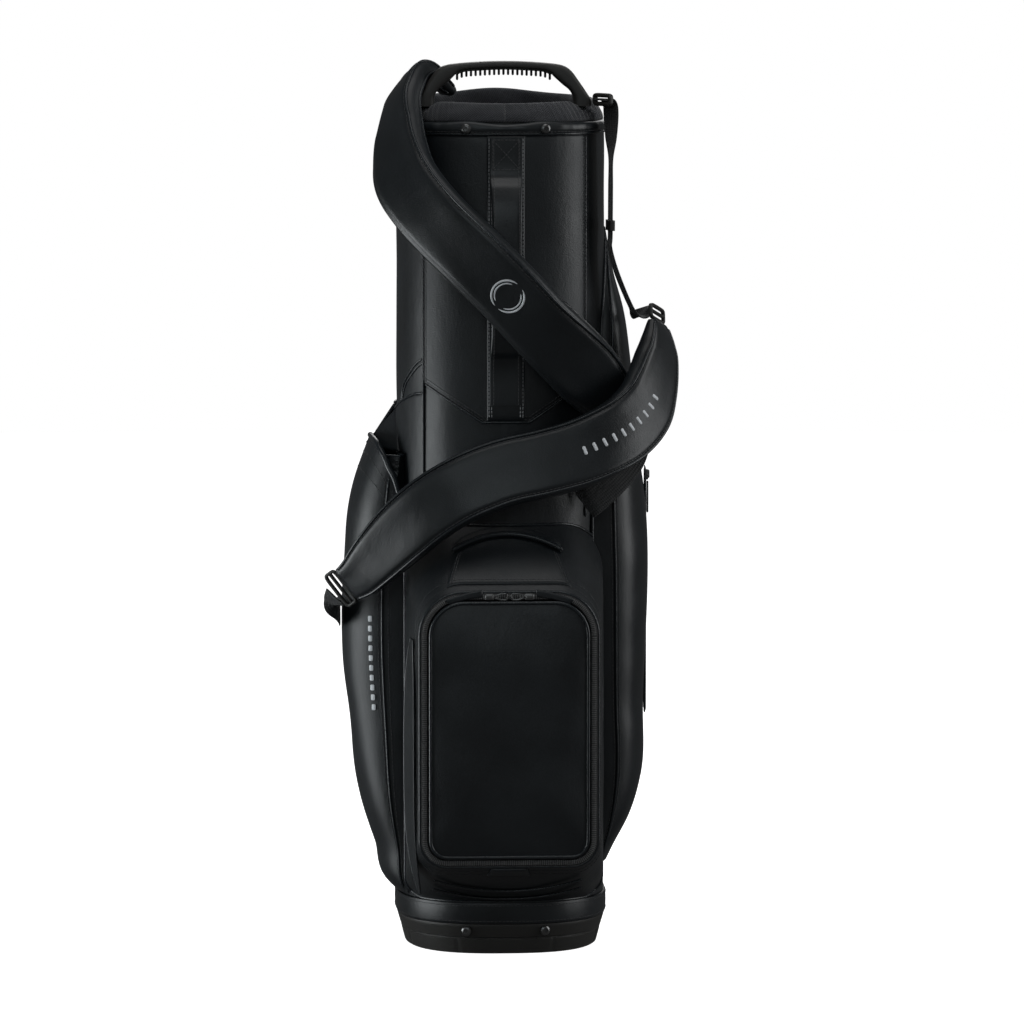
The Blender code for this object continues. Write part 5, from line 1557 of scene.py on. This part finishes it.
SIDE_FLAP = [
    ((-0.0968, -0.1650, 0.3300), (0.27, -0.96, 0.0), 0.008),
    ((-0.0982, -0.1600, 0.3100), (0.27, -0.96, 0.0), 0.018),
    ((-0.0992, -0.1580, 0.2800), (0.27, -0.96, 0.0), 0.028),
    ((-0.0996, -0.1580, 0.2200), (0.27, -0.96, 0.0), 0.032),
    ((-0.0992, -0.1580, 0.1600), (0.27, -0.96, 0.0), 0.031),
    ((-0.0976, -0.1580, 0.1250), (0.27, -0.96, 0.0), 0.027),
    ((-0.0940, -0.1570, 0.0950), (0.27, -0.96, 0.0), 0.020),
    ((-0.0890, -0.1540, 0.0700), (0.27, -0.96, 0.0), 0.008),
]
LEFT_TAB = [
    ((-0.0500, -0.0275, 0.8590), (0.0, -1.0, 0.0), 0.020),
    ((-0.0470, -0.0275, 0.8640), (0.1, -1.0, 0.0), 0.020),
]
LOOP_ACROSS = np.array((0.5524, -0.8336, 0.0))
LOOP_OUTWARD = np.array((0.8336, 0.5524, 0.0))
HANG_ACROSS = np.array((0.1000, -0.9950, 0.0))  # below its loop the webbing turns edge-on to the front
HANG_OUTWARD = np.array((0.9950, 0.1000, 0.0))
HANG_TOP = np.array((0.1085, -0.0850, 0.8520))
HANG = np.array((-0.0005, 0.0030, -0.1200))
LOOP_CENTRE = np.array((0.1000, -0.0870, 0.8690))
WEB_WIDTH = 0.024
RIGHT_WEBBING = [
    (LOOP_CENTRE - LOOP_OUTWARD * 0.0030, LOOP_ACROSS, WEB_WIDTH),
    (LOOP_CENTRE + LOOP_OUTWARD * 0.0040, LOOP_ACROSS, WEB_WIDTH),
    (LOOP_CENTRE + np.array((0.0075, 0.0030, -0.0050)), LOOP_ACROSS, WEB_WIDTH),
    (HANG_TOP, LOOP_ACROSS, WEB_WIDTH),
    (HANG_TOP + HANG * 0.18, (0.40, -0.91, 0.0), WEB_WIDTH),
    (HANG_TOP + HANG * 0.36, HANG_ACROSS, WEB_WIDTH),
    (HANG_TOP + HANG * 0.60, HANG_ACROSS, WEB_WIDTH),
    (HANG_TOP + HANG * 1.00, HANG_ACROSS, WEB_WIDTH),
    (HANG_TOP + HANG * 1.12, HANG_ACROSS, WEB_WIDTH),
    ((0.1160, -0.0790, 0.6900), (0.14, -0.98, 0.0), WEB_WIDTH),
    ((0.1310, -0.0720, 0.6560), (0.14, -0.98, 0.0), WEB_WIDTH),
    ((0.1400, -0.0640, 0.6480), (0.22, -0.95, 0.0), WEB_WIDTH),
    ((0.1440, -0.0560, 0.6560), (0.30, -0.90, -0.3), WEB_WIDTH),
]
TAIL_WEBBING = [
    ((0.1240, -0.0850, 0.5430), tilt(42, 0), 0.030),
    ((0.1340, -0.0850, 0.5240), tilt(15, 0), 0.028),
    ((0.1290, -0.0960, 0.5040), tilt(-30, 0), 0.028),
    ((0.1110, -0.1080, 0.4840), tilt(-55, 0), 0.030),
    ((0.0900, -0.1125, 0.4670), tilt(-62, 0), 0.032),
    ((0.0800, -0.1100, 0.4590), tilt(-64, 0), 0.032),
]
LEFT_WEBBING = [
    ((-0.1748, -0.0880, 0.3670), tilt(-56, 0), 0.020),
    ((-0.1730, -0.0760, 0.3570), tilt(-50, -45), 0.022),
    ((-0.1690, -0.0520, 0.3470), (0.0, 0.3, 0.95), 0.024),
    ((-0.1662, -0.0300, 0.3410), (0.0, 0.2, 0.98), 0.024),
    ((-0.1657, -0.0120, 0.3380), (0.0, 0.1, 0.99), 0.024),
]


def strap_frame(stations, count):
    """Centre, along, across, outward and width at even steps through a strap's stations."""
    rows = spline([[*centre, *across, width] for centre, across, width in stations], count)
    centre, width = rows[:, :3], rows[:, 6:]
    along = unit(np.gradient(centre, axis=0))
    across = unit(rows[:, 3:6] - along * np.sum(rows[:, 3:6] * along, -1, keepdims=True))
    return centre, along, across, np.cross(along, across), width


def pad_rise(u, along_share, thick, seed):
    """How far the pad's face stands off its middle: full, softly domed, pinched just inside its welts."""
    dome = (1 - np.abs(u) ** 9) ** 0.5
    pinch = 1 - 0.13 * np.exp(-((np.abs(u) - 0.86) / 0.06) ** 2)
    slack = 1 + 0.035 * ripple(along_share * 9, u * 0.7, seed)
    return thick / 2 * dome * pinch * slack


def make_strap_pad(name, stations, thick, seed, node, welted):
    centre, along, across, outward, width = strap_frame(stations, 240)
    run = lengths(centre)[:, None]
    angle = np.linspace(0, 2 * math.pi, 72, endpoint=False)[None, :]
    u = signed_power(np.cos(angle), 0.62)
    face = pad_rise(u, run, thick, seed) * np.sign(np.sin(angle))
    ends = np.minimum(run, run[-1] - run)
    taper = 0.42 + 0.58 * np.clip(ends / 0.030, 0, 1) ** 0.6
    half = width / 2
    grid = centre[:, None] + across[:, None] * (u * half)[..., None] + outward[:, None] * (face * taper)[..., None]
    cloth = np.stack(np.broadcast_arrays(u * half, run), -1)
    place(name, [tube_part(grid, cloth=cloth)], "smooth_leather", stands_for=[node])
    welts, rows = [], []
    for side, height in welted:
        path = centre + across * side * (half * 0.905) + outward * taper * thick * height * 0.375
        welts.append(cord_part(path[2:-2], 0.0016, up=(0.2, 1.0, 0.1)))
        if height > 0:
            path = centre + across * side * (half * 0.835) + outward * (thick / 2 * 0.86 * taper + 0.0002)
            rows.append(stitch_part(path[3:-3], outward[3:-3], 0.0042, 0.00034))
    place(name + "_welts", welts, "piping")
    place(name + "_stitches", rows, "dark_thread")
    return centre, along, across, outward, width


def make_strap_marks(upper, lower, thick):
    """Plain raised marks: a ring on one strap, a row of short bars on the other."""
    centre, along, across, outward, _ = upper
    spot = near(centre[:, 0], 0.0010)
    turn = np.linspace(0, 2 * math.pi, 90, endpoint=False)
    rings = []
    for radius, thread in ((0.0168, 0.0011), (0.0136, 0.0008)):
        flat = np.stack([radius * np.cos(turn), radius * np.sin(turn), np.full_like(turn, thick / 2 + 0.0001)], -1)
        flat[:, 2] -= 0.0009 * np.abs(np.cos(turn)) ** 2
        path = local(centre[spot], across[spot], along[spot], outward[spot], flat)
        rings.append(sweep_part(path, outward[spot], superellipse(thread, thread * 0.7, 2.0, 10), closed=True))
    place("upper_strap_ring", rings, "pale_print")
    centre, along, across, outward, _ = lower
    run = lengths(centre)
    first, last = run[near(centre[:, 2], 0.5680)], run[near(centre[:, 0] + (run < 0.05), 0.0760)]
    at = np.linspace(first, last, 10)
    spots, along, across, outward = (
        np.stack([np.interp(at, run, field[:, k]) for k in range(3)], -1) for field in (centre, along, across, outward)
    )
    template, faces = bead(0.0044, 0.0017, 0.0006)
    place("lower_strap_bars", [scatter(template, faces, spots + outward * (thick / 2 + 0.0002), across, along, outward)],
          "pale_print")


def ribbon_part(stations, thick=0.0018, count=90):
    """Flat webbing: a thin rounded section carried through the stations."""
    centre, _, across, outward, width = strap_frame(stations, count)
    section = superellipse(0.5, 0.5, 5.0, 28)
    grid = centre[:, None] + across[:, None] * (section[None, :, :1] * width[:, None])
    grid = grid + outward[:, None] * section[None, :, 1:] * thick
    run = lengths(centre)
    cloth = np.stack(np.broadcast_arrays(section[None, :, 0] * width, run[:, None]), -1)
    return tube_part(grid, cloth=cloth)


def buckle_parts(centre, across, along, size, bar=True):
    """A ladder buckle: a rounded frame and, across its middle, a ridged bar."""
    across, along = unit(across), unit(along)
    outward = np.cross(across, along)
    half_u, half_v, thick = size[0] / 2, size[1] / 2, size[2]
    loop = superellipse(half_u - thick * 0.42, half_v - thick * 0.36, 6.0, 96)
    flat = np.concatenate([loop, np.zeros((len(loop), 1))], -1)
    path = closed_path(local(centre, across, along, outward, flat), 120)
    parts = [sweep_part(path, outward, superellipse(thick * 0.44, thick * 0.5, 3.2, 16), closed=True)]
    if bar:
        for shift in (0.0, ):
            line = np.linspace([-half_u + 0.002, shift, 0.0002], [half_u - 0.002, shift, 0.0002], 20)
            parts.append(sweep_part(local(centre, across, along, outward, line), outward,
                                    superellipse(0.0017, thick * 0.46, 3.0, 14)))
    return parts


def make_straps():
    thick = bpy.context.scene.bag_sizes.strap_thickness
    upper = make_strap_pad("upper_strap_pad", UPPER_STRAP, thick, 61, "strap_pad_upper", ((1, -1), (1, 1)))
    lower = make_strap_pad("lower_strap_pad", LOWER_STRAP, thick, 71, "strap_pad_lower", ((-1, 1), (1, -1), (1, 1)))
    make_strap_marks(upper, lower, thick)
    for name, stations, node in (
        ("hanging_webbing", RIGHT_WEBBING, "webbing_right"), ("tail_webbing", TAIL_WEBBING, "webbing_tail"),
        ("side_webbing", LEFT_WEBBING, "webbing_left"), ("shoulder_tab", LEFT_TAB, "strap_tab_left"),
    ):
        place(name, [ribbon_part(stations)], "webbing", stands_for=[node])
    for label, station, neighbour in (("left", LOWER_STRAP[-1], LOWER_STRAP[-2]), ("right", LOWER_STRAP[0], LOWER_STRAP[1])):
        along = unit(np.array(station[0]) - np.array(neighbour[0]))
        across = np.array(station[1])
        across = unit(across - along * np.dot(across, along))
        centre = np.array(station[0]) + along * 0.0095
        place(f"{label}_ladder_buckle", buckle_parts(centre, across, along, (0.0420, 0.0160, 0.0040)), "plastic",
              stands_for=[f"strap_buckle_{label}"])
    loop = buckle_parts(LOOP_CENTRE, LOOP_ACROSS, np.array([0, 0, 1.0]), (0.0300, 0.0125, 0.0052), bar=False)
    place("shoulder_loop", loop, "plastic", stands_for=["strap_loop_right"])
    middle = HANG_TOP + HANG * 0.92
    down = unit(HANG)
    levels = eased_ends(13) * 0.0052
    rings = []
    for half_u, half_v in ((0.0140, 0.0032), (0.0124, 0.0013)):
        section = superellipse(half_u, half_v, 5.0, 36)
        rings.append(middle + levels[:, None, None] * down + section[None, :, :1] * HANG_ACROSS
                     + section[None, :, 1:] * HANG_OUTWARD)
    place("webbing_keeper", [shell_part(rings[0], rings[1], wrap_columns=True)], "plastic", body="strap_keeper",
          stands_for=["strap_keeper"])


# Stage


def area_light(name, place_at, aim, size, power, colour=(1.0, 1.0, 1.0)):
    light = bpy.data.lights.new(name, "AREA")
    light.shape = "RECTANGLE"
    light.size, light.size_y = size
    light.energy = power
    light.color = colour
    obj = bpy.data.objects.new(name, light)
    obj.location = place_at
    obj.rotation_euler = (Vector(aim) - Vector(place_at)).to_track_quat("-Z", "Y").to_euler()
    bpy.context.scene.collection.objects.link(obj)


def make_stage():
    scene = bpy.context.scene
    reach = 6.0
    mesh = bpy.data.meshes.new("studio_floor")
    turn = np.linspace(0, 2 * math.pi, 96, endpoint=False)
    radii = np.array([0.2, 1.0, 3.0, reach])
    grid = np.stack(np.broadcast_arrays(radii[:, None] * np.cos(turn), radii[:, None] * np.sin(turn), -0.0002), -1)
    faces = quads(len(radii), len(turn), False, True).tolist() + [list(range(len(turn)))]
    mesh.from_pydata(grid.reshape(-1, 3).tolist(), [], faces)
    work = bmesh.new()
    work.from_mesh(mesh)
    bmesh.ops.recalc_face_normals(work, faces=work.faces[:])
    if sum(face.normal.z for face in work.faces) < 0:
        bmesh.ops.reverse_faces(work, faces=work.faces[:])
    work.to_mesh(mesh)
    work.free()
    mesh.materials.append(finish_of("floor"))
    floor = bpy.data.objects.new("studio_floor", mesh)
    scene.collection.objects.link(floor)
    floor.visible_glossy = False
    floor.visible_diffuse = False

    world = bpy.data.worlds.new("studio")
    world.use_nodes = True
    tree = world.node_tree
    dim = tree.nodes["Background"]
    dim.inputs["Color"].default_value = (1.0, 1.0, 1.0, 1.0)
    dim.inputs["Strength"].default_value = 0.07
    white = tree.nodes.new("ShaderNodeBackground")
    white.inputs["Color"].default_value = (1.0, 1.0, 1.0, 1.0)
    white.inputs["Strength"].default_value = 1.0
    rays = tree.nodes.new("ShaderNodeLightPath")
    pick = tree.nodes.new("ShaderNodeMixShader")
    tree.links.new(rays.outputs["Is Camera Ray"], pick.inputs[0])
    tree.links.new(dim.outputs[0], pick.inputs[1])
    tree.links.new(white.outputs[0], pick.inputs[2])
    tree.links.new(pick.outputs[0], tree.nodes["World Output"].inputs[0])
    scene.world = world

    area_light("left_softbox", (-1.2, -0.20, 0.22), (0, 0, 0.24), (0.9, 0.7), 9.5, (0.93, 0.98, 1.0))
    area_light("right_softbox", (2.4, -0.6, 1.0), (0, 0, 0.45), (1.2, 2.2), 24, (0.97, 0.99, 1.0))
    area_light("front_softbox", (-0.6, -3.8, 1.9), (0, 0, 0.45), (2.2, 1.6), 12, (0.86, 0.96, 1.0))
    area_light("top_softbox", (0.0, -0.6, 2.9), (0, 0, 0.4), (2.2, 1.6), 14)
    area_light("back_softbox", (0.4, 2.4, 1.8), (0, 0, 0.5), (1.6, 1.6), 16)
    overhead = bpy.data.lights.new("overhead_fill", "SUN")
    overhead.energy = 0.85
    overhead.angle = math.radians(110)
    fill = bpy.data.objects.new("overhead_fill", overhead)
    fill.visible_glossy = False
    scene.collection.objects.link(fill)
    camera = bpy.data.cameras.new("camera")
    camera.sensor_width = 36.0
    camera.lens = 238.93
    camera.clip_end = 50.0
    obj = bpy.data.objects.new("camera", camera)
    obj.location = (-0.35204, -6.95584, 1.13674)
    aim = Vector((0.0125, 0.0, 0.4415)) - obj.location
    obj.rotation_euler = aim.to_track_quat("-Z", "Y").to_euler()
    scene.collection.objects.link(obj)
    scene.camera = obj
    scene.view_settings.view_transform = "Standard"


# Add-on


def colour_property(name, description, default):
    return bpy.props.FloatVectorProperty(
        name=name, description=description, default=default, subtype="COLOR", size=3, min=0.0, max=1.0
    )


class BagColours(bpy.types.PropertyGroup):
    """Base colours of the bag's finishes."""

    leather: colour_property("Leather", "Coated leather of the panels, pads and piping", (0.0080, 0.0102, 0.0120))
    plastic: colour_property("Plastic", "Moulded boot, collar, handle and buckles", (0.021, 0.0205, 0.019))
    cloth: colour_property("Cloth", "Twill cuff, curtains and pads", (0.012, 0.0135, 0.018))
    webbing: colour_property("Webbing", "Strap webbing and zip tape", (0.020, 0.0205, 0.021))
    metal: colour_property("Metal", "Screws, sliders and pulls", (0.10, 0.10, 0.10))
    thread: colour_property("Thread", "Light stitching and bars", (0.26, 0.27, 0.28))
    floor: colour_property("Floor", "Studio floor", (0.86, 0.86, 0.86))


class BagSizes(bpy.types.PropertyGroup):
    """Sizes that change the bag's soft parts."""

    strap_thickness: bpy.props.FloatProperty(
        name="Strap thickness", description="Thickness of the padded straps", default=0.021, min=0.012, max=0.028,
        unit="LENGTH", subtype="DISTANCE",
    )


def operator(idname, label, words, *makers):
    """An operator that runs its makers in order."""
    def execute(self, context):
        for maker in makers:
            maker()
        return {"FINISHED"}

    name = "BAG_OT_" + idname
    return type(name, (bpy.types.Operator,), {
        "__doc__": words, "bl_idname": "bag." + idname, "bl_label": label, "execute": execute,
    })


def base_screws():
    make_screws("base", 0.0245, -0.0004)


def collar_screws():
    make_screws("collar", 0.8412, -0.0034)


OPERATORS = (
    operator("body", "Body Tube", "Builds the leather tube, its foot band and seams.", make_body),
    operator("boot", "Base Boot", "Builds the moulded boot and the pad on its floor.", make_boot, base_screws),
    operator("rim", "Rim", "Builds the leather roll, the cloth cuff and their screws.",
             make_binding, make_cuff, collar_screws),
    operator("divider", "Divider", "Builds the curtains and finishes the divider frame.", make_divider),
    operator("handle", "Top Handle", "Builds the moulded handle and its comb.", make_handle),
    operator("front", "Front Panel", "Builds the front panel, centre strip and carry handle.", make_front),
    operator("ball_pocket", "Ball Pocket", "Builds the ball pocket, its zip, lid and roof pocket.",
             make_housing, make_ball_zip, make_lid, make_ball_pulls, make_roof),
    operator("side_pockets", "Side Pockets", "Builds both side pockets, the bottle well and their zips.",
             make_left_pocket, make_right_pocket, make_side_zips),
    operator("back", "Back", "Builds the hip pad.", make_back),
    operator("straps", "Straps", "Builds the padded straps, webbing and buckles.", make_straps),
    operator("stage", "Stage", "Builds the floor, lights and camera.", make_stage),
)


class BAG_PT_panel(bpy.types.Panel):
    """Lists the bag's sizes, colours and building steps."""

    bl_label = "Staff Bag"
    bl_space_type = "VIEW_3D"
    bl_region_type = "UI"
    bl_category = "Staff Bag"

    def draw(self, context):
        column = self.layout.column()
        for group in (context.scene.bag_sizes, context.scene.bag_colours):
            for name in group.__annotations__:
                column.prop(group, name)
        for step in OPERATORS:
            column.operator(step.bl_idname)


CLASSES = (BagColours, BagSizes, *OPERATORS, BAG_PT_panel)


def register():
    for item in CLASSES:
        bpy.utils.register_class(item)
    bpy.types.Scene.bag_colours = bpy.props.PointerProperty(type=BagColours)
    bpy.types.Scene.bag_sizes = bpy.props.PointerProperty(type=BagSizes)


def unregister():
    del bpy.types.Scene.bag_sizes
    del bpy.types.Scene.bag_colours
    for item in reversed(CLASSES):
        bpy.utils.unregister_class(item)


def main():
    register()
    for step in OPERATORS:
        getattr(bpy.ops.bag, step.bl_idname.split(".")[1])()


if __name__ == "__main__":
    main()
